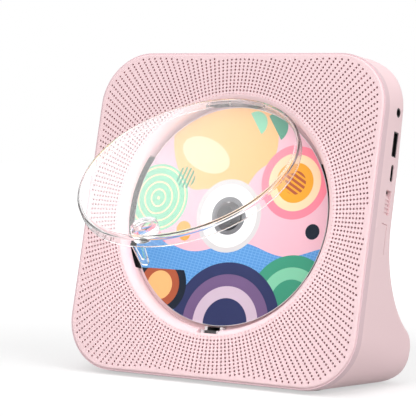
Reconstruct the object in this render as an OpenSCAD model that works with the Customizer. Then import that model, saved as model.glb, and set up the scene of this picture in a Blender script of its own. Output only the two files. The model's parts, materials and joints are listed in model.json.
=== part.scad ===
// Disc player with a perforated front, a clear hinged dust cover and a desk foot.
// Millimetres, +Z up, front towards -Y. The origin is the middle of the base pad's underside.
// Most pieces are drawn in the face frame: x right, y up the tilted face, z out of it.

/* [Body] */
// Width of the front face
face_w = 176; // [174:0.5:178]
// Height of the front face, along its slope
face_h = 178; // [176:0.5:180]
// Corner radius of the front face
face_corner = 28.8; // [27:0.1:30]
// Lean of the face back from the vertical, in degrees
tilt = 12.4; // [12:0.1:13]
// Depth of the slab, square to the face
slab_depth = 32.3; // [32:0.1:34]
// Wall thickness of the case
wall = 2.2; // [2:0.1:2.4]
// Depth of the frame band behind the face
band_depth = 6.2; // [5.8:0.1:6.8]
// Step out from the face plate to the frame band
band_step = 0.8; // [0.5:0.1:1.2]

/* [Foot] */
// How far the foot reaches behind the origin
foot_rear = 40; // [39:0.5:44]
// Radius of the hollow sweep down the back
sweep_r = 56; // [52:1:58]
// Radius of the foot's rounded rear edge
toe_r = 11; // [10:0.5:12]
// Thickness of the rubber pad under the base
pad_t = 1.5; // [1.5:0.1:2]

/* [Disc well] */
// Radius where the rolled lip leaves the face
lip_r = 67; // [67:0.1:67.5]
// Radius of the well wall
well_r = 62.6; // [62.6:0.1:62.8]
// Depth over which the lip rolls
lip_drop = 5; // [4.8:0.1:5.2]
// Half angle of each finger slot, in degrees
grip_half = 30; // [26:1:32]

/* [Disc] */
// Radius of the disc
disc_r = 60; // [59.8:0.1:60]
// Thickness of the disc
disc_t = 1.2; // [1.1:0.1:1.2]
// Depth of the disc's printed face behind the front face
disc_face = 7.4; // [7.3:0.1:7.5]

/* [Cover] */
// Outer radius of the dust cover
cover_r = 60.7; // [60.5:0.1:60.8]
// Angle between the open cover and its closed place
cover_open = 41; // [0:1:41]
// Height of the hinge axis up the face
hinge_v = 66; // [65.9:0.1:66.1]
// Depth of the hinge axis behind the face
hinge_n = 4.4; // [4.3:0.1:4.5]

/* [Controls] */
// Number of buttons along the top
button_count = 5; // [5:5]
// Distance from one button to the next
button_pitch = 18; // [16:0.5:19]

/* [Hidden] */
$fn = 64;
eps = 0.01;
run_gap = 0.05;

// Colours, as the photo shows them or as such pieces have them
pink = [0.98, 0.85, 0.86];
rose = [0.91, 0.77, 0.79];
black_plastic = [0.08, 0.08, 0.09];
dark_grey = [0.25, 0.25, 0.27];
pale_grey = [0.80, 0.76, 0.77];
steel = [0.70, 0.71, 0.73];
zinc = [0.55, 0.57, 0.60];
clear = [0.85, 0.90, 0.93, 0.35];
board_green = [0.05, 0.30, 0.16];
gear_white = [0.92, 0.91, 0.86];

// Placing of the face: its slope height, its corners, and where its middle stands
body_w = face_w + 2 * band_step;
body_slope_h = face_h + 2 * band_step;
body_corner = face_corner + band_step;
body_h = body_slope_h * cos(tilt);
body_cz = pad_t + body_h / 2;
face_cz = body_cz + band_depth * sin(tilt);
face_cy = -21;
plate_t = 2;
frame_wall = 2.6;
frame_front = 1;
screen_t = 0.4;

// Side profile of the case, in row y and z
back_y0 = face_cy + slab_depth / cos(tilt);
sweep_top_z = 88;
sweep_touch = [back_y0 + (sweep_top_z - face_cz) * tan(tilt), sweep_top_z];
sweep_c = sweep_touch + sweep_r * [cos(tilt), -sin(tilt)];
toe_y = foot_rear - toe_r;
toe_z = sweep_c[1] - sqrt(pow(sweep_r + toe_r, 2) - pow(sweep_c[0] - toe_y, 2));
toe_touch = atan2(toe_y - sweep_c[0], sweep_c[1] - toe_z);
heel_r = 8;
heel_y = 29;
heel_z = pad_t + heel_r;
top_out = pad_t + body_h;
top_in = top_out - wall;

// Levels of the well, tray and disc, as depths behind the face
lip_wall = 2;
well_bottom = 11;
tray_in_r = 67;
tray_t = 1.6;
tray_out_r = tray_in_r + tray_t;
tray_floor = well_bottom + tray_t;
disc_back = disc_face + disc_t;
grip_front = 6;

// Cover
cover_v = -1;
cover_rim = 6.6;
cover_t = 1.6;
cover_fillet = 2.4;
hinge_half = 18;
slot_half = 19.3;
barrel_r = 1.9;
pin_r = 1;
pin_half = 22;
knob_r = 7.3;
knob_v = -51.5;
prong_front = -60.5;
prong_t = 1.4;
prong_root = 3.5;
prong_tip = 2.2;
prong_end = 18;

// Latch
notch_half = 6.7;
latch_half = 5.6;
catch_half = 3.85;
catch_front = 4.6;
catch_end = 16;
latch_end = 22;
latch_floor = 20.6;
latch_spring_v = -66;

// Deck
deck_face = 14.6;
deck_t = 1.6;
deck_back = deck_face + deck_t;
bush_at = [[-60, 27], [-60, -27], [24, 27], [24, -27]];
bush_end = 18.2;
motor_r = 12.2;
motor_end = 26.6;
lens_u = -23.5;
sled_half = 7.5;
rail_r = 1.5;
rail_n = 19.5;
rail_v = 17;
gear_m = 0.5;
pinion_teeth = 14;
wheel_teeth = 36;
drive_teeth = 10;
rack_teeth = 24;
rack_line = -26;
axle_at = [-30, rack_line - pinion_teeth * gear_m / 2];
drive_at = axle_at - [0, (wheel_teeth + drive_teeth) * gear_m / 2];
bracket_holes = [for (s = [-1, 1]) drive_at + [s * 9, -2]];

// Ports on the right: height up the face and depth behind it
side_out = body_w / 2;
side_in = side_out - wall;
jack_at = [61.5, 17.6];
usb_a_at = [44.4, 18];
usb_c_at = [28.9, 18.2];
led_at = [22.8, 18.4];
switch_at = [13.1, 17];
port_board_x = 74;
board_t = 1.6;
port_face = port_board_x + board_t;

// Boards, with their screw places
main_board_n = 20.4;
main_holes = [for (s = [-1, 1], v = [34, 70]) [s * 40, v]];
port_holes = [[23.5, 13.2], [52.5, 13.2]];
key_board_z = 167.2;
key_face = key_board_z + board_t;
key_hole_x = 50;

// Top buttons
button_y = 18;
button_r = 4.5;
button_foot = 172.2;
button_stand = 0.8;

// Speakers, screws and wall hangers
speaker_at = 64.5;
speaker_r = 18;
speaker_face = 2.4;
speaker_flange = 3.8;
speaker_lug_r = 19.6;
speaker_lugs = [[speaker_at, -speaker_at + speaker_lug_r], [speaker_at - speaker_lug_r, -speaker_at]];
case_screw_at = [[-74, 75], [74, 75], [-80, -8], [80, -8]];
boss_face = 14;
screw_seat = 20;
lug_r = 73;
tray_lug_at = [for (a = [20, 160, 200, 340]) lug_r * [cos(a), sin(a)]];
hanger_u = 52;
hanger_v = [66, 76];
battery_r = 9.2;
battery_len = 65;
battery_at = [21, 15.5];

// ---------- frames and shared shapes ----------

// Face frame: x right, y up the face, z out of it, zero at the middle of the face
module face() {
    translate([0, face_cy, face_cz]) rotate([90 - tilt, 0, 0]) children();
}

// Side frame on the right wall: x to the rear, y up the face, z out of the side
module side_port(at) {
    face() translate([0, at[0], -at[1]]) rotate([0, 90, 0]) children();
}

module rounded_rect(w, h, r) {
    square([w - 2 * r, h], center = true);
    square([w, h - 2 * r], center = true);
    for (sx = [-1, 1], sy = [-1, 1])
        translate([sx * (w / 2 - r), sy * (h / 2 - r)]) circle(r);
}

// Slab of the face frame between two depths behind the face
module slab(w, h, r, front, back) {
    translate([0, 0, -back]) linear_extrude(back - front) rounded_rect(w, h, r);
}

// Round post of the face frame between two depths
module post(at, r, front, back) {
    translate([at[0], at[1], -back]) cylinder(r = r, h = back - front);
}

module tube(at, r_out, r_in, front, back) {
    difference() {
        post(at, r_out, front, back);
        post(at, r_in, front - 1, back + 1);
    }
}

// Box from its low corner to its high corner
module block(low, high) {
    translate(low) cube(high - low);
}

// Rod along x of the face frame
module rod_u(u0, u1, v, n, r) {
    translate([u0, v, -n]) rotate([0, 90, 0]) cylinder(r = r, h = u1 - u0);
}

// Profile in the v and n of the face frame, drawn out along u
module along_u(u0, u1) {
    translate([u0, 0, 0]) rotate([90, 0, 90]) linear_extrude(u1 - u0) children();
}

// Profile in the u and n of the face frame, drawn out along v
module along_v(v0, v1) {
    translate([0, v1, 0]) rotate([90, 0, 0]) linear_extrude(v1 - v0) children();
}

// Points of an arc
function arc(c, r, a0, a1, steps) =
    [for (i = [0:steps]) let (a = a0 + (a1 - a0) * i / steps) c + r * [cos(a), sin(a)]];

// Sector of a ring about the well's axis, between two depths
module ring_sector(r_in, r_out, middle, half, front, back) {
    far = r_out / cos(half);
    intersection() {
        tube([0, 0], r_out, r_in, front, back);
        rotate([0, 0, middle]) translate([0, 0, -back])
            linear_extrude(back - front)
                polygon([[0, 0], far * [cos(half), -sin(half)], far * [cos(half), sin(half)]]);
    }
}

// Small self-tapping screw along +z, its head resting at z = 0 and its shank going up
module small_screw(shank = 3.6) {
    difference() {
        union() {
            translate([0, 0, -1.2]) cylinder(r = 2, h = 1.2);
            cylinder(r = 1, h = shank);
        }
        translate([0, 0, -1.2 - eps]) cylinder(r = 0.9, h = 0.7, $fn = 6);
    }
}

// Spur wheel outline with straight-sided teeth; a tooth points along +x
module spur(teeth) {
    pitch_r = teeth * gear_m / 2;
    root_r = pitch_r - 0.65;
    tip_r = pitch_r + 0.42;
    half_root = asin(0.42 / root_r);
    half_tip = asin(0.2 / tip_r);
    polygon([for (i = [0:teeth - 1], k = [0:3])
        let (side = k < 2 ? -1 : 1, at_tip = k == 1 || k == 2)
        (at_tip ? tip_r : root_r) * [
            cos(i * 360 / teeth + side * (at_tip ? half_tip : half_root)),
            sin(i * 360 / teeth + side * (at_tip ? half_tip : half_root))]]);
}

// Toothed wheel in the face frame, turned so that a tooth points along the angle
module wheel(teeth, at, front, back, angle) {
    translate([at[0], at[1], -back]) rotate([0, 0, angle]) linear_extrude(back - front) spur(teeth);
}

// Coil of wire along +z with a straight leg at each end, as one unbroken six-sided tube
module coil(coil_r, wire_r, length, start, turned, steps, leg_0 = 0, leg_1 = 0) {
    sides = 6;
    first = leg_0 > 0 ? [[0, -leg_0]] : [];
    last = leg_1 > 0 ? [[steps, leg_1]] : [];
    places = concat(first, [for (i = [0:steps]) [i, 0]], last);
    rings = [for (p = places)
        let (a = start + turned * p[0] / steps, h = length * p[0] / steps, leg = p[1] * [-sin(a), cos(a)])
        [for (k = [0:sides - 1])
            let (b = 360 * k / sides, r = coil_r + wire_r * cos(b))
            [r * cos(a) + leg[0], r * sin(a) + leg[1], h + wire_r * sin(b)]]];
    skin = [for (i = [0:len(rings) - 2], k = [0:sides - 1], half = [0, 1])
        let (k2 = (k + 1) % sides, a = i * sides, b = a + sides)
        half == 0 ? [a + k, b + k, b + k2] : [a + k, b + k2, a + k2]];
    end = (len(rings) - 1) * sides;
    caps = [for (k = [1:sides - 2], far = [0, 1]) far == 0 ? [0, k, k + 1] : [end, end + k + 1, end + k]];
    polyhedron([for (ring = rings) each ring], concat(skin, caps));
}

// ---------- case ----------

// Side profile of the case, drawn in by an inset
module case_profile(inset) {
    back = back_y0 - inset / cos(tilt);
    top = top_out + 20;
    polygon(concat(
        [[-90, pad_t + inset], [heel_y, pad_t + inset]],
        arc([heel_y, heel_z], heel_r - inset, -90, -10, 8),
        arc([toe_y, toe_z], toe_r - inset, -5, 90 + toe_touch, 14),
        arc(sweep_c, sweep_r + inset, 270 + toe_touch, 180 - tilt, 24),
        [[back + (top - face_cz) * tan(tilt), top], [-90, top]]
    ));
}

// Outer or inner form of the case: a rounded prism along y within the side profile
module case_form(inset) {
    intersection() {
        translate([0, 80, body_cz]) rotate([90, 0, 0])
            linear_extrude(180) rounded_rect(body_w - 2 * inset, body_h - 2 * inset, body_corner - inset);
        translate([-100, 0, 0]) rotate([90, 0, 90])
            linear_extrude(200) case_profile(inset);
    }
}

module side_openings() {
    side_port(jack_at) cylinder(r = 2.6, h = 100);
    side_port(usb_a_at) translate([-3, -6.8, 0]) cube([6, 13.6, 100]);
    side_port(usb_c_at) translate([-1.75, -2.9, 0]) cube([3.5, 5.8, 100]);
    for (s = [-1, 1]) side_port(usb_c_at) translate([0, s * 2.9, 0]) cylinder(r = 1.75, h = 100);
    side_port(led_at) cylinder(r = 0.8, h = 100);
    side_port(switch_at) translate([-3, -6.5, 0]) cube([6, 13, 100]);
}

// Keyholes to hang the case on two wall screws
module keyholes() {
    for (s = [-1, 1]) face() {
        post([s * hanger_u, hanger_v[0]], 4.5, 26, 40);
        block([s * hanger_u - 2.3, hanger_v[0], -40], [s * hanger_u + 2.3, hanger_v[1], -26]);
        post([s * hanger_u, hanger_v[1]], 2.3, 26, 40);
    }
}

module shell_bosses() {
    face() {
        for (at = case_screw_at) post(at, 4.2, boss_face, 33);
        for (at = main_holes) post(at, 3, main_board_n + board_t, 33);
    }
    for (at = port_holes) side_port(at) translate([0, 0, port_face]) cylinder(r = 2, h = 14);
    for (sx = [-1, 1]) translate([sx * key_hole_x, button_y, key_face]) cylinder(r = 3, h = 8);
}

module shell_bores() {
    face() {
        for (at = case_screw_at) {
            post(at, 1.7, 13, 60);
            post(at, 3, screw_seat, 60);
        }
        for (at = main_holes) post(at, 1, 20, 25);
    }
    for (at = port_holes) side_port(at) translate([0, 0, port_face - 1]) cylinder(r = 1, h = 4);
    for (sx = [-1, 1]) translate([sx * key_hole_x, button_y, key_board_z]) cylinder(r = 1, h = 4.5);
    for (i = [0:button_count - 1])
        translate([(i - 2) * button_pitch, button_y, top_in - 1]) cylinder(r = button_r + 0.15, h = 10);
}

module rear_shell() {
    color(pink) difference() {
        union() {
            difference() {
                case_form(0);
                case_form(wall);
            }
            intersection() {
                case_form(0.5);
                shell_bosses();
            }
        }
        face() block([-120, -150, -band_depth], [120, 150, 200]);
        shell_bores();
        translate([40, 0, 0]) side_openings();
        keyholes();
    }
}

module front_frame() {
    inner_w = body_w - 2 * frame_wall;
    inner_h = body_slope_h - 2 * frame_wall;
    color(rose) face() difference() {
        slab(body_w, body_slope_h, body_corner, frame_front, band_depth);
        slab(inner_w, inner_h, body_corner - frame_wall, 0, band_depth + 1);
        slab(face_w + 0.1, face_h + 0.1, face_corner + 0.05, 0, plate_t);
    }
}

// Section of the rolled lip and well wall, as radius and height
function lip_section() =
    let (roll = lip_r - well_r, under = roll - lip_wall, under_drop = lip_drop - plate_t)
    concat(
        [for (a = [0:10:90]) [lip_r - roll * sin(a), -lip_drop + lip_drop * cos(a)]],
        [[well_r, -well_bottom], [well_r + lip_wall, -well_bottom]],
        [for (a = [90:-10:0]) [lip_r - under * sin(a), -lip_drop + under_drop * cos(a)]]
    );

// Room that the hinge lug sweeps through the lip and the well wall
function lug_path() = [[68.2, -8.4], [55, -8.4], [55, 1.9], [68.2, -3.9]];

module front_grille() {
    color(pink) face() difference() {
        union() {
            difference() {
                slab(face_w, face_h, face_corner, 0, plate_t);
                post([0, 0], lip_r, -1, plate_t + 1);
            }
            rotate_extrude($fn = 120) polygon(lip_section());
            for (at = case_screw_at) post(at, 3.6, plate_t - 1, boss_face);
            for (at = tray_lug_at) post(at, 3, plate_t - 1, 4.4);
            for (s = [-1, 1], at = speaker_lugs) post([s * at[0], at[1]], 1.5, plate_t - 1, speaker_flange);
        }
        for (at = case_screw_at) post(at, 1.45, 6, 15);
        for (at = tray_lug_at) post(at, 1, 1.6, 5);
        for (s = [-1, 1], at = speaker_lugs) post([s * at[0], at[1]], 1, 1.2, 5);
        for (middle = [0, 180])
            ring_sector(61, lip_r, middle, grip_half, grip_front, well_bottom + 1);
        along_u(-slot_half, slot_half) polygon(lug_path());
        block([-notch_half, -64.9, -well_bottom - 1], [notch_half, -60, 1]);
    }
}

// Thin black screen glued behind the perforated plate
module dust_screen() {
    color(black_plastic) face() difference() {
        slab(166, 168, 24, plate_t, plate_t + screen_t);
        post([0, 0], tray_out_r + 0.9, 1, 4);
        for (at = case_screw_at) post(at, 4, 1, 4);
        for (at = tray_lug_at) post(at, 3.4, 1, 4);
        for (s = [-1, 1], at = speaker_lugs) post([s * at[0], at[1]], 2.2, 1, 4);
        block([-26, 60, -4], [26, 74, 0]);
        block([-10, -74, -4], [10, -60, 0]);
    }
}

module base_pad() {
    color(dark_grey) linear_extrude(pad_t) rounded_rect(120, 50, 8);
}

module case_screws() {
    color(steel) face() for (at = case_screw_at)
        difference() {
            union() {
                post(at, 2.8, screw_seat, screw_seat + 2);
                post(at, 1.45, 7, screw_seat);
            }
            translate([at[0], at[1], -screw_seat - 2 - eps]) cylinder(r = 1.3, h = 1.2, $fn = 6);
        }
}

// The same small screw holds the tray, hinge, latch, boards, sled motor and speakers
module small_screws() {
    color(steel) {
        face() {
            for (at = tray_lug_at) translate([at[0], at[1], -6]) small_screw();
            for (s = [-1, 1]) translate([s * 15, 69, -tray_floor]) small_screw();
            for (s = [-1, 1]) translate([s * 7.8, -65.5, -tray_floor - 1.4]) small_screw();
            for (s = [-1, 1], at = speaker_lugs)
                translate([s * at[0], at[1], -speaker_flange]) small_screw(2.4);
            for (at = main_holes) translate([at[0], at[1], -main_board_n]) mirror([0, 0, 1]) small_screw();
            for (at = bracket_holes) translate([at[0], at[1], -20.4]) small_screw(5);
        }
        for (at = port_holes) side_port(at) translate([0, 0, port_board_x]) small_screw();
        for (sx = [-1, 1]) translate([sx * key_hole_x, button_y, key_board_z]) small_screw();
    }
}

// ---------- disc tray ----------

module disc_tray() {
    color(black_plastic) face() difference() {
        union() {
            tube([0, 0], tray_out_r, tray_in_r, plate_t, tray_floor);
            post([0, 0], tray_out_r, well_bottom, tray_floor);
            block([-25, 62.6, -tray_floor], [25, 73, -plate_t]);
            for (at = tray_lug_at) post(at, 3.6, 4.4, 6);
            for (a = [20, 160, 200, 340]) rotate([0, 0, a])
                block([tray_out_r - 0.8, -2.6, -5.8], [lug_r - 2, 2.6, -4.6]);
            for (at = bush_at) post(at, 2.2, tray_floor - 0.5, bush_end);
        }
        block([-23.4, 56, -well_bottom], [23.4, 71.4, 0]);
        post([0, 0], 16.5, 5, 20);
        block([-64.5, -12, -20], [-14, 12, -5]);
        block([-latch_half, -80, -20], [latch_half, -60.4, 1]);
        for (at = tray_lug_at) post(at, 1.1, 3, 8);
        for (at = bush_at) post(at, 0.9, deck_face, bush_end + 1);
        for (s = [-1, 1]) post([s * 15, 69], 1.1, 10, 15);
        for (s = [-1, 1]) post([s * 7.8, -65.5], 1, 10, 15);
    }
}

// ---------- hinge and cover ----------

// Turns the cover from closed to open about the hinge axis
module opened() {
    face() translate([0, hinge_v, -hinge_n]) rotate([-cover_open, 0, 0])
        translate([0, -hinge_v, hinge_n]) children();
}

// Cover section from the middle to the rim, as radius and height
function cover_section() = concat(
    [[0, -cover_t], [0, 0]],
    arc([cover_r - cover_fillet, -cover_fillet], cover_fillet, 90, 0, 6),
    [[cover_r, -cover_rim], [cover_r - cover_t, -cover_rim]],
    arc([cover_r - cover_fillet, -cover_fillet], cover_fillet - cover_t, 0, 90, 4)
);

// Section of the hinge lug, in the v and n of the closed cover
function lug_section() = [[65.3, -6], [60.4, -6.6], [57, -6.6], [57, -4.7], [61.2, -4.7], [65.2, -3.4]];

// Half width of the prong at a depth
function prong_half(n) = prong_root - (prong_root - prong_tip) * (n - cover_rim) / (prong_end - cover_rim);

// Half of the prong's outline, with its barb, in u and n
function prong_side(s) = [
    [s * prong_root, -cover_rim + 0.4], [s * prong_half(15.9), -15.9], [s * 2.55, -16.4], [s * 1.5, -prong_end]
];

module prong() {
    left = prong_side(-1);
    along_v(prong_front - prong_t, prong_front) difference() {
        polygon(concat(prong_side(1), [for (i = [3:-1:0]) left[i]]));
        polygon([[-2.3, -cover_rim], [2.3, -cover_rim], [1, -14.6], [-1, -14.6]]);
    }
}

module dust_cover() {
    color(clear) opened() difference() {
        union() {
            translate([0, cover_v, 0]) rotate_extrude($fn = 120) polygon(cover_section());
            difference() {
                along_u(-hinge_half, hinge_half) polygon(lug_section());
                translate([0, cover_v, -20]) cylinder(r = cover_r - cover_t / 2, h = 30);
            }
            rod_u(-hinge_half, hinge_half, hinge_v, hinge_n, barrel_r);
            post([0, knob_v], knob_r, cover_t / 2, 6.2);
            prong();
        }
        rod_u(-30, 30, hinge_v, hinge_n, pin_r + run_gap);
        block([-6, 63.4, -10], [6, 70, 0]);
        block([-5.5, 61.5, -7], [-4.5, 64, -5.7]);
        translate([0, knob_v, 10.6]) sphere(r = 12);
    }
}

module hinge_pin() {
    color(steel) face() rod_u(-pin_half, pin_half, hinge_v, hinge_n, pin_r);
}

// Saddle with two ears for the pin's ends and a stop for the spring's fixed leg
module hinge_bracket() {
    color(dark_grey) face() difference() {
        union() {
            block([-23.4, 64.8, -well_bottom], [23.4, 71.4, -9.6]);
            for (s = [-1, 1]) block([s * 21.2 - 2.2, 64, -10.2], [s * 21.2 + 2.2, 71.4, -2.6]);
            block([2, 69.8, -10.2], [8, 71.4, -4]);
        }
        rod_u(-pin_half, pin_half, hinge_v, hinge_n, pin_r);
        translate([5, 68, -hinge_n - 1.65]) rotate([-90, 0, 0]) cylinder(r = 0.45, h = 5);
        for (s = [-1, 1]) post([s * 15, 69], 1, 8, 12);
    }
}

// Torsion spring round the pin: one leg lies under the cover's lug, the other in the bracket
module hinge_spring() {
    lug_leg = 270 - cover_open;
    color(steel) face() translate([-5, hinge_v, -hinge_n]) rotate([90, 0, 0]) rotate([0, 90, 0])
        coil(1.65, 0.3, 10, lug_leg, 7 * 360 + cover_open, 86, 3.4, 4.6);
}

// ---------- latch ----------

// Fixed body of the push latch, hung under the tray by two ears
module latch_housing() {
    color(pale_grey) face() difference() {
        union() {
            block([-latch_half, -70.5, -latch_end], [latch_half, -60.5, -3.6]);
            block([-10, -69, -tray_floor - 1.4], [10, -62, -tray_floor]);
        }
        block([-catch_half - 0.1, -69.1, -latch_floor], [catch_half + 0.1, -59, 1]);
        block([-9, -62.9, -7.2], [9, -59, 1]);
        for (s = [-1, 1]) post([s * 7.8, -65.5], 1.1, 10, 16);
    }
}

// Sliding claw: the prong runs down into its tapered mouth
module latch_catch() {
    mouth = [for (s = [-1, 1], end = [0, 1])
        let (n = end == (s < 0 ? 0 : 1) ? catch_front : catch_end + 1) [s * (prong_half(n) + 0.25), -n]];
    color(dark_grey) face() difference() {
        union() {
            block([-catch_half, -68.9, -catch_end], [catch_half, -62.9, -catch_front]);
            block([-catch_half, -63.4, -catch_end], [catch_half, -60.6, -7.4]);
        }
        along_v(-62.9, -59) polygon(mouth);
    }
}

module latch_spring() {
    wire = 0.22;
    color(steel) face() translate([0, latch_spring_v, wire - latch_floor])
        coil(1.35, wire, latch_floor - catch_end - 2 * wire, 0, 4 * 360, 48);
}

// ---------- disc and turntable ----------

module compact_disc() {
    color([0.93, 0.80, 0.82]) face() tube([0, 0], disc_r, 7.5, disc_face, disc_back);
}

module turntable() {
    ball_n = disc_face - 0.9;
    color(dark_grey) face() difference() {
        union() {
            post([0, 0], 15, disc_back + 0.3, disc_back + 2);
            post([0, 0], 10, disc_back, disc_back + 2);
            post([0, 0], 7.4, disc_face - 1, disc_back);
            translate([0, 0, 1 - disc_face]) cylinder(r1 = 7.4, r2 = 4.6, h = 2.8);
            post([0, 0], 4, disc_back + 2, 14);
        }
        post([0, 0], 1, 4.6, 15);
        tube([0, 0], 14.2, 10.8, disc_back, disc_back + 0.9);
        for (a = [90, 210, 330]) rotate([0, 0, a])
            translate([5.4, 0, -ball_n]) rotate([0, 90, 0]) cylinder(r = 1, h = 3);
    }
}

module grip_ring() {
    color([0.12, 0.12, 0.12]) face() tube([0, 0], 14.2, 10.8, disc_back, disc_back + 0.9);
}

module hub_balls() {
    color(steel) face() for (a = [90, 210, 330])
        rotate([0, 0, a]) translate([6.45, 0, 0.9 - disc_face]) sphere(r = 0.98, $fn = 32);
}

module spindle_shaft() {
    color(steel) face() post([0, 0], 1, 4.8, 22);
}

module spindle_motor() {
    color(steel) face() difference() {
        union() {
            post([0, 0], motor_r, deck_back, motor_end);
            post([0, 0], 3, deck_face + 0.2, deck_back);
        }
        post([0, 0], 1 + run_gap, 12, 23);
    }
}

// ---------- deck ----------

module deck_chassis() {
    color(zinc) face() difference() {
        union() {
            block([-67, -33, -deck_back], [31, 33, -deck_face]);
            block([-41, -51, -deck_back], [-19, -30, -deck_face]);
            for (u = [-67, -10], s = [-1, 1])
                block([u, s * rail_v - 2.6, -rail_n - 2.4], [u + 2, s * rail_v + 2.6, -deck_back + 0.5]);
        }
        block([-65, -20.2, -deck_back - 1], [-13, 20.2, 0]);
        for (s = [-1, 1]) rod_u(-70, -6, s * rail_v, rail_n, rail_r);
        post([0, 0], 3, 12, 20);
        for (at = bush_at) post(at, 3.2, 10, 20);
        post(axle_at, 1, 10, 20);
        for (at = bracket_holes) post(at, 1, 10, 20);
    }
}

module damper_bushes() {
    color([0.15, 0.15, 0.16]) face() for (at = bush_at)
        difference() {
            union() {
                post(at, 5, tray_floor, deck_face);
                post(at, 3.2, deck_face, deck_back);
                post(at, 5, deck_back, bush_end);
            }
            post(at, 2.2, 10, 20);
        }
}

module deck_screws() {
    color(steel) face() for (at = bush_at)
        difference() {
            union() {
                post(at, 4, bush_end, bush_end + 1.2);
                post(at, 0.9, deck_face + 0.4, bush_end);
            }
            translate([at[0], at[1], -bush_end - 1.2 - eps]) cylinder(r = 1.1, h = 0.7, $fn = 6);
        }
}

module guide_rails() {
    color(steel) face() for (s = [-1, 1]) rod_u(-67, -8, s * rail_v, rail_n, rail_r);
}

// Carriage of the laser unit: a round bearing on one rail and an open fork on the other
module pickup_sled() {
    u0 = lens_u - sled_half;
    u1 = lens_u + sled_half;
    color([0.20, 0.20, 0.22]) face() difference() {
        union() {
            block([u0, -13.4, -23], [u1, 13.4, -15.4]);
            block([u0, -19.4, -23], [u1, -13, -17.2]);
            block([u0, 13, -23], [u1, 19.4, -17.2]);
            block([lens_u - 6, -9, -16], [lens_u + 6, 9, -12]);
        }
        rod_u(u0 - 1, u1 + 1, rail_v, rail_n, rail_r + run_gap);
        block([u0 - 1, -20, -rail_n - rail_r - 0.1], [u1 + 1, -14.8, -rail_n + rail_r + 0.1]);
        post([lens_u, 0], 4, 11, 21);
    }
}

module objective_lens() {
    color([0.55, 0.62, 0.75]) face() difference() {
        post([lens_u, 0], 3.5, 10.8, 17);
        translate([lens_u, 0, -6.4]) sphere(r = 5.2, $fn = 48);
        translate([lens_u, 0, -21.6]) sphere(r = 5.2, $fn = 48);
    }
}

// Toothed bar on the sled, its teeth towards the small wheel
module sled_rack() {
    pitch = PI * gear_m;
    first = axle_at[0] - pitch;
    end = first + rack_teeth * pitch;
    root = rack_line + 0.6;
    back = rack_line + 2.6;
    teeth = [for (i = [0:rack_teeth - 1], k = [0:3])
        let (c = first + (i + 0.5) * pitch, side = k < 2 ? -1 : 1, at_tip = k == 1 || k == 2)
        [c + side * (at_tip ? 0.2 : 0.42), at_tip ? rack_line - 0.4 : root]];
    color(gear_white) face() {
        translate([0, 0, -25]) linear_extrude(2)
            polygon(concat([[first - 0.9, root]], teeth, [[end + 0.9, root], [end + 0.9, back], [first - 0.9, back]]));
        block([lens_u - 6.5, rack_line + 2, -25], [lens_u + 6.5, -12, -23]);
    }
}

// Small wheel and large wheel in one piece, turning on the axle
module drive_gear() {
    color(gear_white) face() difference() {
        union() {
            wheel(pinion_teeth, axle_at, 18.8, 25, 90);
            wheel(wheel_teeth, axle_at, 17.4, 19, 90);
        }
        post(axle_at, 1 + run_gap, 10, 30);
    }
}

module gear_axle() {
    color(steel) face() {
        post(axle_at, 1, deck_face, 25.6);
        post(axle_at, 1.8, 25.2, 26);
    }
}

module motor_pinion() {
    color([0.75, 0.60, 0.30]) face() {
        wheel(drive_teeth, drive_at, 17, 19.2, 90 + 180 / drive_teeth);
        post(drive_at, 0.75, 19, 24);
    }
}

module sled_motor() {
    color(steel) face() difference() {
        post(drive_at, 7, 20.4, 28);
        post(drive_at, 0.75 + run_gap, 19, 25);
    }
}

module motor_bracket() {
    color(zinc) face() difference() {
        union() {
            block([drive_at[0] - 11, drive_at[1] - 5, -20.4], [drive_at[0] + 11, drive_at[1] + 2, -19.6]);
            for (at = bracket_holes) post(at, 2, deck_back, 20);
        }
        post(drive_at, 1.4, 18, 22);
        for (at = bracket_holes) post(at, 1.1, 10, 22);
    }
}

// ---------- electronics ----------

module main_board() {
    color(board_green) face() difference() {
        block([-46, 29, -main_board_n - board_t], [46, 75, -main_board_n]);
        for (at = main_holes) post(at, 1.1, 19, 24);
    }
}

module board_chips() {
    color([0.10, 0.10, 0.11]) face() {
        block([-16, 44, -main_board_n], [-4, 56, -19]);
        block([6, 46, -main_board_n], [15, 53, -19.2]);
        block([20, 58, -main_board_n], [28, 63, -19.4]);
        block([-34, 40, -main_board_n], [-27, 44, -16]);
        for (u = [-32, -24, 32]) post([u, 62], 3, 13, main_board_n);
    }
}

module port_board() {
    color(board_green) difference() {
        face() block([port_board_x, 4, -25], [port_face, 70, -11]);
        for (at = port_holes) side_port(at) translate([0, 0, 70]) cylinder(r = 1.1, h = 10);
    }
}

module headphone_jack() {
    color(black_plastic) side_port(jack_at) difference() {
        union() {
            translate([-3, -6, port_face]) cube([6, 12, side_in - 1 - port_face]);
            translate([0, 0, port_face]) cylinder(r = 2.5, h = side_out - 0.2 - port_face);
        }
        translate([0, 0, port_face + 1]) cylinder(r = 1.8, h = 30);
    }
}

module usb_a_socket() {
    color(steel) side_port(usb_a_at) difference() {
        translate([-2.8, -6.6, port_face]) cube([5.6, 13.2, side_out - 0.4 - port_face]);
        translate([-2.4, -6.2, port_face + 1]) cube([4.8, 12.4, 30]);
    }
    color(black_plastic) side_port(usb_a_at)
        translate([0.4, -5.6, port_face + 0.5]) cube([1.8, 11.2, side_out - 2 - port_face]);
}

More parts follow.
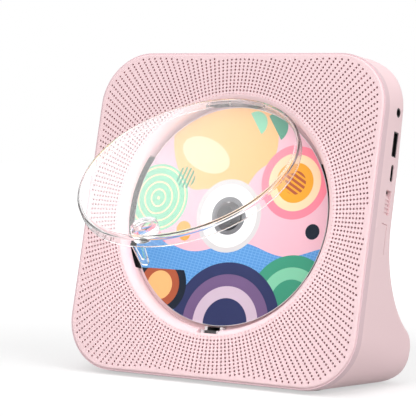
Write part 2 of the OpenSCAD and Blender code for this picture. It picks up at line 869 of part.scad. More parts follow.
module usb_c_socket() {
    color(steel) side_port(usb_c_at) difference() {
        union() {
            translate([-1.6, -2.9, port_face]) cube([3.2, 5.8, side_out - 0.4 - port_face]);
            for (s = [-1, 1]) translate([0, s * 2.9, port_face])
                cylinder(r = 1.6, h = side_out - 0.4 - port_face);
        }
        translate([-1.28, -2.9, port_face + 5]) cube([2.56, 5.8, 30]);
        for (s = [-1, 1]) translate([0, s * 2.9, port_face + 5]) cylinder(r = 1.28, h = 30);
    }
    color(black_plastic) side_port(usb_c_at)
        translate([-0.35, -2.8, port_face + 4.5]) cube([0.7, 5.6, side_out - 6 - port_face]);
}

module led_lens() {
    color([0.95, 0.97, 0.98]) side_port(led_at) translate([0, 0, port_face])
        cylinder(r = 0.75, h = side_out - 0.1 - port_face);
}

module power_switch() {
    color(dark_grey) side_port(switch_at) difference() {
        translate([-3, -6, port_face]) cube([6, 12, 6.4]);
        translate([-1.1, -3.6, port_face + 2]) cube([2.2, 7.2, 10]);
    }
}

// Ribbed thumb piece, standing at the lower end of its window
module switch_slider() {
    color(rose) side_port(switch_at) translate([0, -1.4, 0]) {
        translate([-4, -6.4, side_in - 1.4]) cube([8, 12.8, 1.2]);
        translate([-2.6, -4.9, side_in - 0.3]) cube([5.2, 9.8, 1.4]);
        translate([-0.9, -2, port_face + 2.2]) cube([1.8, 4, side_in - port_face - 3]);
        for (k = [-1.5:1:1.5]) translate([-2.6, k * 2.2 - 0.4, side_in + 1]) cube([5.2, 0.8, 0.7]);
    }
}

module key_board() {
    color(board_green) difference() {
        translate([-54, button_y - 6, key_board_z]) cube([108, 12, board_t]);
        for (sx = [-1, 1]) translate([sx * key_hole_x, button_y, 160]) cylinder(r = 1.1, h = 20);
    }
}

module tact_switches() {
    color([0.15, 0.15, 0.16]) for (i = [0:button_count - 1])
        translate([(i - 2) * button_pitch, button_y, key_face]) {
            translate([-3, -3, 0]) cube([6, 6, 2]);
            translate([0, 0, 2]) cylinder(r = 1.6, h = 0.8);
        }
}

// Round cap in the top, held under the wall by its flange
module top_button(i) {
    crown = top_out + button_stand;
    color([0.96, 0.82, 0.84]) translate([(i - 2) * button_pitch, button_y, 0]) {
        translate([0, 0, button_foot]) cylinder(r = 5.4, h = top_in - 0.2 - button_foot);
        translate([0, 0, button_foot]) cylinder(r = button_r, h = crown - 0.5 - button_foot);
        translate([0, 0, crown - 0.5]) cylinder(r1 = button_r, r2 = button_r - 0.5, h = 0.5);
    }
}

// ---------- speakers ----------

module speaker(s) {
    face() translate([s * speaker_at, -speaker_at, 0]) children();
}

module speaker_frame(s) {
    color(black_plastic) speaker(s) rotate_extrude() polygon([
        [15.4, -speaker_face], [speaker_r, -speaker_face], [speaker_r, -speaker_flange],
        [17, -speaker_flange], [11, -13], [5, -13], [5, -11.8], [10.2, -11.8], [15.4, -4]
    ]);
}

module speaker_cone(s) {
    color([0.20, 0.20, 0.21]) speaker(s) rotate_extrude() polygon([
        [0, -6.6], [3, -7], [5, -8.6], [12.6, -4.6], [13.4, -3.7], [14.4, -3.7], [15.1, -4.4],
        [14.6, -4.9], [13.2, -5.2], [5, -9.6], [4.6, -11], [4.2, -11], [4.2, -9.2], [0, -9.2]
    ]);
}

module speaker_magnet(s) {
    color(dark_grey) speaker(s) difference() {
        post([0, 0], 10.5, 13, 19.6);
        tube([0, 0], 4.9, 3.9, 12, 17);
    }
}

// ---------- power ----------

module battery_cell() {
    color([0.30, 0.50, 0.70]) translate([-battery_len / 2, battery_at[0], battery_at[1]])
        rotate([0, 90, 0]) cylinder(r = battery_r, h = battery_len);
}

module battery_holder() {
    half = battery_len / 2;
    color(black_plastic) difference() {
        translate([-half - 3, battery_at[0] - 8, pad_t + wall]) cube([battery_len + 6, 16, 9]);
        translate([-half, battery_at[0], battery_at[1]]) rotate([0, 90, 0])
            cylinder(r = battery_r + run_gap, h = battery_len);
        translate([-half, battery_at[0] - 5.5, 9]) cube([battery_len, 11, 10]);
    }
}

module ir_receiver() {
    color([0.10, 0.08, 0.10]) face() block([-73, 52, -6.4], [-66, 58, -speaker_face]);
}

front_grille();
front_frame();
rear_shell();
base_pad();
dust_screen();
disc_tray();
small_screws();
case_screws();
dust_cover();
hinge_pin();
hinge_bracket();
hinge_spring();
latch_housing();
latch_catch();
latch_spring();
compact_disc();
turntable();
grip_ring();
hub_balls();
spindle_shaft();
spindle_motor();
deck_chassis();
damper_bushes();
deck_screws();
pickup_sled();
objective_lens();
sled_rack();
guide_rails();
drive_gear();
gear_axle();
motor_pinion();
sled_motor();
motor_bracket();
main_board();
board_chips();
port_board();
headphone_jack();
usb_a_socket();
usb_c_socket();
led_lens();
power_switch();
switch_slider();
key_board();
tact_switches();
top_button(0);  // power_button
top_button(1);  // previous_button
top_button(2);  // play_button
top_button(3);  // next_button
top_button(4);  // source_button
speaker_frame(-1);  // speaker_frame_left
speaker_frame(1);  // speaker_frame_right
speaker_cone(-1);  // speaker_cone_left
speaker_cone(1);  // speaker_cone_right
speaker_magnet(-1);  // speaker_magnet_left
speaker_magnet(1);  // speaker_magnet_right
battery_cell();
battery_holder();
ir_receiver();
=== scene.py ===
# %% [markdown]
# # A disc player that stands on its own foot
# The real object is a square music player of satin pink plastic. Its front is one plate with
# some 2,900 small holes for two speakers, and a round well in the middle holds the disc under
# a clear lid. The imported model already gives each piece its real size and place, so this script
# only dresses it: it cuts the holes, moulds the lid, prints the disc and gives every piece its
# finish.

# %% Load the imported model
import json
import math
from contextlib import contextmanager

import bmesh
import bpy
from mathutils import Matrix, Quaternion, Vector

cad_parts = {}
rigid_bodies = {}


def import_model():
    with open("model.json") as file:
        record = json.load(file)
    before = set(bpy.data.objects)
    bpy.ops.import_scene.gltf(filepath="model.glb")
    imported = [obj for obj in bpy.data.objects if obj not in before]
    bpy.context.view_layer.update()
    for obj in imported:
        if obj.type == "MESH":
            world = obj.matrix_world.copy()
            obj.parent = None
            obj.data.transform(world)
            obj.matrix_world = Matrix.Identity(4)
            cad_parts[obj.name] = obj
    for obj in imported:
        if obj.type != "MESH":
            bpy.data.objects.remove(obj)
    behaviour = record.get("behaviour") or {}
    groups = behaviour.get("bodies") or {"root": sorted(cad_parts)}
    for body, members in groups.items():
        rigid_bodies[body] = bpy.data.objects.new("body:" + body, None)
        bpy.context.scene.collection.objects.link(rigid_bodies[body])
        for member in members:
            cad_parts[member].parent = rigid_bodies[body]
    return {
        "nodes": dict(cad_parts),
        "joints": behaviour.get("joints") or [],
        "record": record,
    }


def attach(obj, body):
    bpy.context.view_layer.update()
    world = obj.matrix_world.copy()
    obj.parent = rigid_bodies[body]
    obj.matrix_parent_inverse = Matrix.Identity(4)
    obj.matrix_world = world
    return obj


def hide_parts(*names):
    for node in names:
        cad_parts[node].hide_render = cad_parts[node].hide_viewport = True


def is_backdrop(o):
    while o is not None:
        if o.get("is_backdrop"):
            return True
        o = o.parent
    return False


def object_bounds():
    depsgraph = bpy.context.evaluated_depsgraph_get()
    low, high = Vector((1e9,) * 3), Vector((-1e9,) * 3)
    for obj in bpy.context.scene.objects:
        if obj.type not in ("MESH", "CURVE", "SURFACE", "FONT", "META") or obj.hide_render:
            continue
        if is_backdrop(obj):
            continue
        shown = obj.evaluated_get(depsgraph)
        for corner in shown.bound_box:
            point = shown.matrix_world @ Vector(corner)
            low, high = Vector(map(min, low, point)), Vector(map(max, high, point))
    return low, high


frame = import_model()
cad_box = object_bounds()
nodes = frame["nodes"]
joints = {joint["name"]: joint for joint in frame["joints"]}

# %% [markdown]
# ## One frame for the front
# The front leans back, so modelling straight in the room's axes would make every number awkward.
# Pieces are modelled flat instead, in millimetres: x to the right, y up the face, z out of it.
# One matrix then stands them up. The disc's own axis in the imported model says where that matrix
# is.

# %% The face frame
MM = 0.001
disc_face = 7.4  # the disc's face lies this far behind the plate's
disc_axis = Vector(joints["disc_spin"]["axis"]).normalized()
tilt = math.asin(disc_axis.z)
face_middle = Vector(joints["disc_spin"]["pos_m"]) + disc_axis * disc_face * MM
face_turn = math.pi / 2 - tilt
face_place = Matrix.Translation(face_middle) @ Matrix.Rotation(face_turn, 4, "X")
room_place = Matrix.Identity(4)
print("tilt", round(math.degrees(tilt), 2), "degrees")
print("face middle", tuple(round(c, 4) for c in face_middle))

# %% [markdown]
# ## A few bench tools
# Blender's operators act on whatever is selected, and the loaded nodes arrive selected, so each
# step selects its own piece first. Written out, every step would repeat those lines. These
# helpers take them over: pick a piece, go into edit mode, pick edges or corners by where they
# are, and write an object's place into its mesh.

# %% Picking


def only(*pieces):
    """Select these pieces and nothing else."""
    bpy.ops.object.select_all(action="DESELECT")
    for piece in pieces:
        piece.select_set(True)
    bpy.context.view_layer.objects.active = pieces[0]


def made(name):
    """The object that an operator has just added, under a new name."""
    piece = bpy.context.active_object
    piece.name = name
    return piece


def applied(piece):
    """Write a piece's place, turn and scale into its mesh."""
    only(piece)
    bpy.ops.object.transform_apply(location=True, rotation=True, scale=True)
    return piece


@contextmanager
def editing(piece, kind="FACE"):
    """Edit mode on one piece, with nothing selected."""
    only(piece)
    bpy.ops.object.mode_set(mode="EDIT")
    bpy.ops.mesh.select_mode(type=kind)
    bpy.ops.mesh.select_all(action="DESELECT")
    yield
    bpy.ops.object.mode_set(mode="OBJECT")


def choose(kind, test):
    """In edit mode, select the verts or edges that pass a test, and say how many did."""
    mesh = bmesh.from_edit_mesh(bpy.context.edit_object.data)
    chosen = [element for element in getattr(mesh, kind) if test(element)]
    for element in chosen:
        element.select_set(True)
    mesh.select_flush_mode()
    bmesh.update_edit_mesh(bpy.context.edit_object.data)
    return len(chosen)


print("pieces can be picked")

# %% [markdown]
# Wood is sawn, glued and sanded, and the same three jobs turn up here: cut one solid with
# another, weld one on, and smooth what is round. The last helper hangs a finished piece on the
# body that carries it, under the finish of its slot.

# %% Cutting, smoothing and hanging
finishes = {}


def apply_modifier(piece, kind, **settings):
    """Add one modifier, set it and apply it."""
    modifier = piece.modifiers.new("step", kind)
    for setting, value in settings.items():
        setattr(modifier, setting, value)
    only(piece)
    bpy.ops.object.modifier_apply(modifier=modifier.name)


def carve(piece, *tools, operation="DIFFERENCE"):
    """Cut tools out of a piece, or weld them on."""
    for tool in tools:
        apply_modifier(piece, "BOOLEAN", operation=operation, object=tool, solver="MANIFOLD")
        bpy.data.objects.remove(tool)


def smooth(piece, angle):
    """Shade round forms smooth, keep true edges, and let flat faces stay flat next to them."""
    only(piece)
    bpy.ops.object.shade_smooth_by_angle(angle=math.radians(angle))
    apply_modifier(piece, "WEIGHTED_NORMAL", keep_sharp=True)


def settle(piece, name, body, slot, replaces, place=face_place):
    """Stand a finished piece in its place, from millimetres to metres, on its body."""
    piece.matrix_world = place @ Matrix.Scale(MM, 4)
    applied(piece)
    piece.name = name
    piece.data.name = name
    piece.data.materials.clear()
    piece.data.materials.append(finishes[slot].material)
    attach(piece, body)
    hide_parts(*replaces)
    print(name, len(piece.data.polygons), "faces, on", body)


print("pieces can be cut, smoothed and hung")

# %% [markdown]
# ## Finishes
# Every finish is made of nodes, so nothing is read from a picture. Sums on sockets are easier to
# read as Python than as a chain of boxes, so a small class lets + - * % < > add the Math nodes.

# %% Sums on sockets


class Wire:
    """An output socket of a shader. Python's own signs on it add Math nodes."""

    def __init__(self, owner, socket):
        self.owner, self.socket = owner, socket

    def __add__(self, other):
        return self.owner.maths("ADD", self, other)

    def __sub__(self, other):
        return self.owner.maths("SUBTRACT", self, other)

    def __mul__(self, other):
        return self.owner.maths("MULTIPLY", self, other)

    def __mod__(self, other):
        return self.owner.maths("FLOORED_MODULO", self, other)

    def __lt__(self, other):
        return self.owner.maths("LESS_THAN", self, other)

    def __gt__(self, other):
        return self.owner.maths("GREATER_THAN", self, other)

    def __rsub__(self, other):
        return self.owner.maths("SUBTRACT", other, self)

    def __abs__(self):
        return self.owner.maths("ABSOLUTE", self)

    __radd__ = __add__
    __rmul__ = __mul__


print("sockets can be added and multiplied")

# %% [markdown]
# Materials and the world are both trees of nodes, and a single method fills either. It takes the
# kind of node, its settings, and the values or links of its sockets. The rest are short names for
# the nodes that come back often.

# %% Node trees


class Nodes:
    """The nodes of a material or of the world. One method makes each of them."""

    def __init__(self, tree):
        self.tree = tree

    def node(self, kind, settings, inputs, out=0):
        """Add one node, set it, fill its sockets, and give back one of its outputs."""
        node = self.tree.nodes.new("ShaderNode" + kind)
        for setting, value in settings.items():
            setattr(node, setting, value)
        for place, value in inputs.items():
            self.join(node.inputs[place], value)
        return Wire(self, node.outputs[out])

    def join(self, socket, value):
        """Link a wire to a socket, or set the socket to a plain value."""
        if isinstance(value, Wire):
            self.tree.links.new(value.socket, socket)
        else:
            socket.default_value = value

    def maths(self, operation, first, second=0.0):
        return self.node("Math", {"operation": operation}, {0: first, 1: second})

    def ray(self, kind):
        """1 for rays of one kind, 0 for the others."""
        return self.node("LightPath", {}, {}, out=f"Is {kind} Ray")

    def looked_at(self):
        """1 for what is seen, straight on, in a mirror or through glass, and 0 for light."""
        bent = self.maths("MAXIMUM", self.ray("Glossy"), self.ray("Transmission"))
        return self.maths("MAXIMUM", self.ray("Camera"), bent)


print("trees can be filled")

# %% One finish


class Finish(Nodes):
    """A material on the Principled shader."""

    def __init__(self, name, **fixed):
        self.material = bpy.data.materials.new(name)
        self.material.use_nodes = True
        super().__init__(self.material.node_tree)
        self.shader = self.tree.nodes["Principled BSDF"]
        for socket, value in fixed.items():
            self.feed(socket.replace("_", " "), value)

    def feed(self, socket, value):
        self.join(self.shader.inputs[socket], value)

    def place(self, flat=True):
        """Object coordinates in millimetres, by default turned into the face frame."""
        back = face_place.inverted() if flat else room_place
        placing = {
            "Vector": self.node("TexCoord", {}, {}, out="Object"),
            "Location": back.translation / MM,
            "Rotation": back.to_euler(),
            "Scale": (1 / MM,) * 3,
        }
        return self.node("Mapping", {"vector_type": "POINT"}, placing)

    def axes(self, vector):
        """The three parts of a vector."""
        parts = self.node("SeparateXYZ", {}, {0: vector})
        return [Wire(self, output) for output in parts.socket.node.outputs]

    def noise(self, vector, per_mm, detail):
        inputs = {"Vector": vector, "Scale": per_mm, "Detail": detail}
        return self.node("TexNoise", {"noise_type": "FBM"}, inputs)

    def voronoi(self, vector, per_mm, **settings):
        """A random number for each of many cells."""
        cells = self.node("TexVoronoi", settings, {"Vector": vector, "Scale": per_mm}, out="Color")
        return self.axes(cells)[0]

    def mix(self, share, first, second):
        """One colour going over into another. The colour sockets are 6, 7 and, out, 2."""
        return self.node("Mix", {"data_type": "RGBA"}, {0: share, 6: first, 7: second}, out=2)

    def ramp(self, value, start, end, low, high):
        """From low to high while a value goes from start to end."""
        return self.node("MapRange", {}, {0: value, 1: start, 2: end, 3: low, 4: high})

    def bump(self, height, depth_mm):
        """Relief from a height of 0 to 1, as deep as that."""
        inputs = {"Height": height, "Distance": depth_mm * MM, "Strength": 1.0}
        self.feed("Normal", self.node("Bump", {}, inputs))


print("finishes can be mixed")

# %% [markdown]
# ## Moulded plastic
# The case is injection moulded in a fine spark-eroded tool: satin, with a grain of about a fifth
# of a millimetre that only shows as a soft sheen. A picture of plastic would blur or repeat, so
# the grain is a noise. A slow drift in the colour keeps large flat walls from looking computed.
# The same recipe in other colours serves the frame, the caps and the black parts.

# %% Plastics
white, no_light = (1, 1, 1, 1), (0, 0, 0, 1)


def paint(red, green, blue):
    """A colour as a swatch shows it, 0 to 255, as the linear one that shaders take."""
    parts = [part / 255 for part in (red, green, blue)]
    linear = [p / 12.92 if p < 0.04045 else ((p + 0.055) / 1.055) ** 2.4 for p in parts]
    return (*linear, 1)


def moulded(name, colour, shade, roughness=0.45, grain_mm=0.22, depth_mm=0.004):
    """Satin moulded plastic between two close colours."""
    drift_per_mm, drift_share, sheen_swing = 0.02, 0.5, 0.12
    finish = Finish(name, IOR=1.5)
    place = finish.place(flat=False)
    drift = finish.noise(place, drift_per_mm, detail=3.0)
    grain = finish.noise(place, 1 / grain_mm, detail=1.0)
    finish.feed("Base Color", finish.mix(drift * drift_share, colour, shade))
    finish.feed("Roughness", grain * sheen_swing + (roughness - sheen_swing / 2))
    finish.bump(grain, depth_mm)
    return finish


pink, pink_shade = paint(247, 216, 219), paint(243, 210, 214)
# The frame band's rose is partly its own paint and partly painted shade: a deeper pink than the
# case, for the darker band along the face's edge.
rose, rose_shade = paint(232, 200, 206), paint(226, 194, 200)
black, black_shade = paint(26, 26, 28), paint(36, 36, 38)
grey, grey_shade = paint(58, 58, 61), paint(66, 66, 69)
chip, chip_shade = paint(24, 24, 26), paint(40, 40, 42)
nylon, nylon_shade = paint(236, 232, 220), paint(228, 223, 208)
rubber, rubber_shade = paint(44, 44, 46), paint(54, 54, 56)

finishes |= {
    "case_pink": moulded("satin_pink", pink, pink_shade),
    "frame_rose": moulded("satin_rose", rose, rose_shade, roughness=0.4),
    "button_pink": moulded("cap_pink", pink, pink_shade, roughness=0.36),
    "black_plastic": moulded("satin_black", black, black_shade, roughness=0.4),
    "dark_plastic": moulded("dark_grey", grey, grey_shade, roughness=0.38),
    "chip_black": moulded("chip_black", chip, chip_shade, roughness=0.55),
    "white_nylon": moulded("natural_nylon", nylon, nylon_shade, roughness=0.4),
    "rubber": moulded("soft_rubber", rubber, rubber_shade, 0.7, grain_mm=0.5, depth_mm=0.02),
}
print(len(finishes), "plastics")

# %% [markdown]
# ## Metals
# Turned and rolled metal shows the lines of the tool that made it. Fine grooves could be
# modelled, but they are thinner than a hair, so here the lines come from a noise that is
# stretched along one direction: it roughens the sheen across them and leaves it along them.

# %% Metals


def rolled(name, colour, shade, roughness=0.32, metallic=1.0, spots=0.0):
    """Metal with fine rolling lines, and spangle where spots is above zero."""
    stretch, spangle_per_mm, sheen_swing, groove_mm = (0.4, 9.0, 9.0), 0.45, 0.2, 0.002
    finish = Finish(name, Metallic=metallic)
    place = finish.place()
    stretched = finish.node("VectorMath", {"operation": "MULTIPLY"}, {0: place, 1: stretch})
    line = finish.noise(stretched, 1.0, detail=2.0)
    spangle = finish.voronoi(place, spangle_per_mm)
    share = spangle * spots + line * (1 - spots)
    finish.feed("Base Color", finish.mix(share, colour, shade))
    finish.feed("Roughness", share * sheen_swing + (roughness - sheen_swing / 2))
    finish.bump(line, groove_mm)
    return finish


steel, steel_shade = paint(205, 206, 209), paint(186, 187, 190)
zinc, zinc_shade = paint(186, 190, 196), paint(160, 165, 172)
brass, brass_shade = paint(222, 186, 112), paint(204, 164, 92)
iron, iron_shade = paint(52, 52, 54), paint(70, 70, 73)

finishes |= {
    "steel": rolled("bright_steel", steel, steel_shade, roughness=0.26),
    "zinc_plate": rolled("zinc_plate", zinc, zinc_shade, spots=0.6),
    "brass": rolled("turned_brass", brass, brass_shade, roughness=0.28),
    "magnet_iron": rolled("black_ferrite", iron, iron_shade, roughness=0.6, metallic=0.2),
}
print("metals ready")

# %% [markdown]
# ## Boards, mesh, wrap and lens
# These sit inside the case. A circuit board is green lacquer over copper tracks: a grid of fine
# lines that comes and goes with a blocky noise reads as tracks. The dust screen is a black woven
# gauze, and the sockets are metal with painted shade past their mouths, for their dark insides.

# %% Inner finishes


def circuit_board():
    """Green lacquer over tracks that run across in some blocks and along in others."""
    track_pitch, track_w, blocks_per_mm = 1.6, 0.5, 0.16
    finish = Finish("green_lacquer", Roughness=0.3, Coat_Weight=0.4, Coat_Roughness=0.12)
    place = finish.place()
    u, v, _ = finish.axes(place)
    block = finish.voronoi(place, blocks_per_mm, distance="CHEBYCHEV")
    across, along = (u % track_pitch) < track_w, (v % track_pitch) < track_w
    track = across * (block > 0.62) + along * (block < 0.32)
    finish.feed("Base Color", finish.mix(track, paint(18, 92, 56), paint(60, 138, 84)))
    finish.bump(track, 0.03)
    return finish


def gauze():
    """Black threads both ways, with dark gaps between them."""
    thread_pitch, thread_w = 0.5, 0.3
    finish = Finish("black_gauze", Roughness=0.9)
    u, v, _ = finish.axes(finish.place())
    woven = (((u % thread_pitch) < thread_w) + ((v % thread_pitch) < thread_w)) * 0.5
    finish.feed("Base Color", finish.mix(woven, paint(20, 12, 14), paint(52, 34, 38)))
    finish.bump(woven, 0.05)
    return finish


def cell_wrap():
    """Blue shrink film with shallow wrinkles."""
    finish = Finish("shrink_wrap", Roughness=0.28, Coat_Weight=0.3)
    wrinkle = finish.noise(finish.place(flat=False), 0.3, detail=3.0)
    finish.feed("Base Color", finish.mix(wrinkle, paint(52, 112, 168), paint(64, 128, 184)))
    finish.bump(wrinkle, 0.15)
    return finish


def coated_lens():
    """Glass with the violet to green sheen of its coating."""
    finish = Finish("coated_lens", Roughness=0.03, Coat_Weight=1.0)
    rim = finish.node("LayerWeight", {}, {"Blend": 0.4}, out="Facing")
    finish.feed("Base Color", finish.mix(rim, paint(60, 70, 120), paint(120, 170, 190)))
    return finish


def socket_throat(mouth_x):
    """A metal socket with painted shade: past its mouth, at the side wall, the metal is painted
    near black.
    """
    finish = Finish("socket_throat", Metallic=0.3, Roughness=0.4, Specular_IOR_Level=0.3)
    across, _, _ = finish.axes(finish.place())
    # Painted shade: deeper in than the mouth, the metal is painted near black.
    inside = across < mouth_x
    finish.feed("Base Color", finish.mix(inside, paint(84, 84, 86), paint(16, 16, 17)))
    return finish


finishes |= {
    "circuit_board": circuit_board(),
    "screen_mesh": gauze(),
    "cell_wrap": cell_wrap(),
    "lens_glass": coated_lens(),
}
print("inner finishes ready")

# %% [markdown]
# ## Clear plastic
# The lid is polished acrylic. Light bends in its walls, which draws the bright lines round its
# rim. The dark lines are painted shade: a share of grey is mixed in where the surface turns away
# from the eye. A path tracer would let it throw a full shadow on the disc, which real clear
# plastic doesn't, so shadow rays pass it almost freely.

# %% Clear plastic


def clear(name, colour, edge_shade_colour, roughness, veil):
    """Clear plastic with painted grey shade where it is seen edge-on, and a light shadow."""
    edge_power, edge_share = 5.0, 0.9
    look = {"Base_Color": colour, "Roughness": roughness, "IOR": 1.47}
    finish = Finish(name, Transmission_Weight=1.0, **look)
    facing = finish.node("LayerWeight", {}, {"Blend": 0.5}, out="Facing")
    edge = finish.maths("POWER", facing, edge_power) * edge_share
    # Painted shade: a grey diffuse share where the surface is seen edge-on draws the dark rim
    # lines.
    painted_edge_shade = finish.node("BsdfDiffuse", {}, {"Color": edge_shade_colour})
    bulk = Wire(finish, finish.shader.outputs[0])
    glass = finish.node("MixShader", {}, {0: edge, 1: bulk, 2: painted_edge_shade})
    through = finish.node("BsdfTransparent", {}, {"Color": veil})
    blend = finish.node("MixShader", {}, {0: finish.ray("Shadow"), 1: glass, 2: through})
    finish.join(finish.tree.nodes["Material Output"].inputs["Surface"], blend)
    return finish


finishes["clear_plastic"] = clear(
    "clear_acrylic",
    colour=white,
    edge_shade_colour=paint(72, 68, 71),
    roughness=0.0,
    veil=(0.94, 0.92, 0.93, 1),
)
finishes["pale_plastic"] = clear(
    "pale_clear",
    colour=paint(250, 238, 240),
    edge_shade_colour=paint(190, 180, 184),
    roughness=0.08,
    veil=(0.9, 0.86, 0.87, 1),
)
print("clear plastics ready")

# %% [markdown]
# ## The camera
# The photograph's viewpoint was found by fitting the case's edges and the 120 mm disc to it. The
# camera looks from the right and a little above, from almost a metre away through a long lens.
# Placing it by eye would never bring the edges on top of each other, so its angles are numbers.

# %% Camera
camera_angles = (30.245, 2.717, 1.286)
camera_turn, camera_rise, camera_roll = (math.radians(angle) for angle in camera_angles)
camera_range = 0.9837
picture_px, focal_px, aside_px, below_px = 416, 1822.9, 14.135, 5.598


def spun(vector, axis, angle):
    return Quaternion(axis, angle) @ vector


back = Vector(
    (
        math.sin(camera_turn) * math.cos(camera_rise),
        -math.cos(camera_turn) * math.cos(camera_rise),
        math.sin(camera_rise),
    )
)
right = Vector((math.cos(camera_turn), math.sin(camera_turn), 0))
up = back.cross(right)
stand = face_middle + back * camera_range
yaw, pitch = math.atan(aside_px / focal_px), math.atan(below_px / focal_px)
right, back = spun(right, up, yaw), spun(back, up, yaw)
back, up = spun(back, right, pitch), spun(up, right, pitch)
right, up = spun(right, back, camera_roll), spun(up, back, camera_roll)
aim = Matrix((right, up, back)).transposed().to_4x4()

bpy.ops.object.camera_add()
camera = made("camera")
camera.matrix_world = Matrix.Translation(stand) @ aim
camera.data.sensor_width = 36
camera.data.lens = camera.data.sensor_width * focal_px / picture_px
camera.data.clip_end = 30
bpy.context.scene.camera = camera
print("lens", round(camera.data.lens, 1), "mm")

# %% [markdown]
# ## Sky, floor and lamps
# A studio sweep for a product picture: white all round, with only the soft shadow left. The world
# is white for the camera, mirrors and glass, and a plain fill of about a third for everything
# else, so a white background costs the object no extra light.

# %% Sky
fill_strength = 0.36
world = bpy.data.worlds.new("studio")
bpy.context.scene.world = world
world.use_nodes = True
sky = Nodes(world.node_tree)
fill = world.node_tree.nodes["Background"]
sky.join(fill.inputs["Color"], white)
sky.join(fill.inputs["Strength"], fill_strength)
seen = sky.node("Background", {}, {"Color": white})
fill_or_seen = {0: sky.looked_at(), 1: Wire(sky, fill.outputs[0]), 2: seen}
sky_output = world.node_tree.nodes["World Output"].inputs["Surface"]
sky.join(sky_output, sky.node("MixShader", {}, fill_or_seen))
print("fill of", fill_strength)

# %% [markdown]
# The floor is a plain grey that glows for whoever looks at it, more so further out. Near the
# object the glow is weak enough to leave the shadow, and far out it meets the white of the sky.

# %% Floor
floor_grey = (0.48, 0.48, 0.48, 1)
near_mm, far_mm, near_glow, far_glow = 180.0, 900.0, 0.54, 0.96
bpy.ops.mesh.primitive_plane_add(size=8)
floor = made("floor")
white_floor = Finish("white_floor", Base_Color=floor_grey, Roughness=0.9, Emission_Strength=1.0)
white_floor.feed("Specular IOR Level", 0.0)
spot = white_floor.place(flat=False)
reach = white_floor.node("VectorMath", {"operation": "LENGTH"}, {0: spot}, out="Value")
glow = white_floor.looked_at() * white_floor.ramp(reach, near_mm, far_mm, near_glow, far_glow)
white_floor.feed("Emission Color", white_floor.mix(glow, no_light, white))
floor.data.materials.append(white_floor.material)
floor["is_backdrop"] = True
print("floor glows", near_glow, "to", far_glow)

# %% [markdown]
# Three large lamps give the rest: in front, above and on the right, where the ports are. They are
# large because a small lamp throws a hard shadow, and only as strong as lets a colour render
# about as it is written.

# %% Lamps
lamps = {
    "soft_front": ((0.2, -2.1, 1.5), 1.6, 27.5),
    "soft_top": ((0.3, -0.2, 2.2), 1.8, 14.5),
    "soft_right": ((2.0, -0.7, 1.1), 1.4, 21.0),
}
for name, (at, size, power) in lamps.items():
    bpy.ops.object.light_add(type="AREA", location=at)
    lamp = made(name)
    lamp.rotation_euler = (face_middle - Vector(at)).to_track_quat("-Z", "Y").to_euler()
    lamp.data.size = size
    lamp.data.energy = power
bpy.context.scene.view_settings.view_transform = "Standard"
print(len(lamps), "lamps")

# %% [markdown]
# A polished lid shows what it mirrors. Photographers hang a graded card for that: here it is
# bright on the left and fades to the right, so the lid gets the soft white veil of the
# photograph. Only rays off a mirror or through glass meet the card, so it neither lights the
# pieces nor shows in the picture.

# %% Graded card
card_at, card_size, card_bright = (-0.75, -0.02, 1.15), 1.0, 3.0
fade_from, fade_to, card_end = -760.0, -470.0, 0.12
bpy.ops.mesh.primitive_plane_add(size=card_size, location=card_at)
card = applied(made("card"))
graded = Finish("graded_card", Base_Color=no_light, Roughness=1.0, Emission_Strength=card_bright)
graded.feed("Specular IOR Level", 0.0)
across = graded.axes(graded.place(flat=False))[0]
fade = graded.ramp(across, fade_from, fade_to, 1.0, card_end)
graded.feed("Emission Color", graded.mix(fade, no_light, white))
card.data.materials.append(graded.material)
card.visible_camera = card.visible_diffuse = card.visible_shadow = False
card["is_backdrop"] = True
print("card from", card_bright, "to", round(card_bright * card_end, 2))

# %% [markdown]
# ## The perforated plate
# The real plate is one moulding: a flat rounded square whose middle rolls inwards into the well.
# The outline is a plane with bevelled corners. The well's mouth is a circle in the same mesh, and
# its edge is drawn down step by step along a quarter of an ellipse, as a lip is rolled. Cutting
# the well with a solid would leave a sharp edge in place of the lip.

# %% Plate outline
face_w, face_h, face_corner = 176, 178, 28.8
lip_r, well_r, lip_drop, well_bottom = 67, 62.6, 5, 11


def rounded_plane(width, height, corner, segments, name):
    """A flat rectangle with round corners."""
    bpy.ops.mesh.primitive_plane_add(size=1)
    piece = made(name)
    piece.scale = (width, height, 1)
    with editing(applied(piece), "VERT"):
        bpy.ops.mesh.select_all(action="SELECT")
        bpy.ops.mesh.bevel(offset=corner, segments=segments, profile=0.5, affect="VERTICES")
    return piece


plate = rounded_plane(face_w, face_h, face_corner, 24, "plate")
with editing(plate):
    bpy.ops.mesh.select_all(action="SELECT")
    bpy.ops.mesh.delete(type="ONLY_FACE")
bpy.ops.mesh.primitive_circle_add(vertices=240, radius=lip_r)
only(plate, made("mouth"))
bpy.ops.object.join()
print("outline of", len(plate.data.vertices), "points")

# %% Lip and well wall
plate_t, lip_steps = 2, 10


def middle(edge):
    return (edge.verts[0].co + edge.verts[1].co) / 2


with editing(plate, "EDGE"):
    bpy.ops.mesh.select_all(action="SELECT")
    bpy.ops.mesh.fill()
    bpy.ops.mesh.select_all(action="DESELECT")
    choose("edges", lambda edge: middle(edge).length < lip_r + 0.1)
    last_r, last_n = lip_r, 0
    for step in range(1, lip_steps + 2):
        roll = min(step / lip_steps, 1) * math.pi / 2
        next_r = lip_r - (lip_r - well_r) * math.sin(roll)
        next_n = -well_bottom if step > lip_steps else lip_drop * (math.cos(roll) - 1)
        bpy.ops.mesh.extrude_edges_move(
            TRANSFORM_OT_translate={"value": (0, 0, next_n - last_n)}
        )
        grow = next_r / last_r
        bpy.ops.transform.resize(value=(grow, grow, 1), center_override=(0, 0, 0))
        last_r, last_n = next_r, next_n
    bpy.ops.mesh.select_all(action="SELECT")
    bpy.ops.mesh.normals_make_consistent(inside=False)
if plate.data.polygons[0].normal.z < 0:
    plate.data.flip_normals()
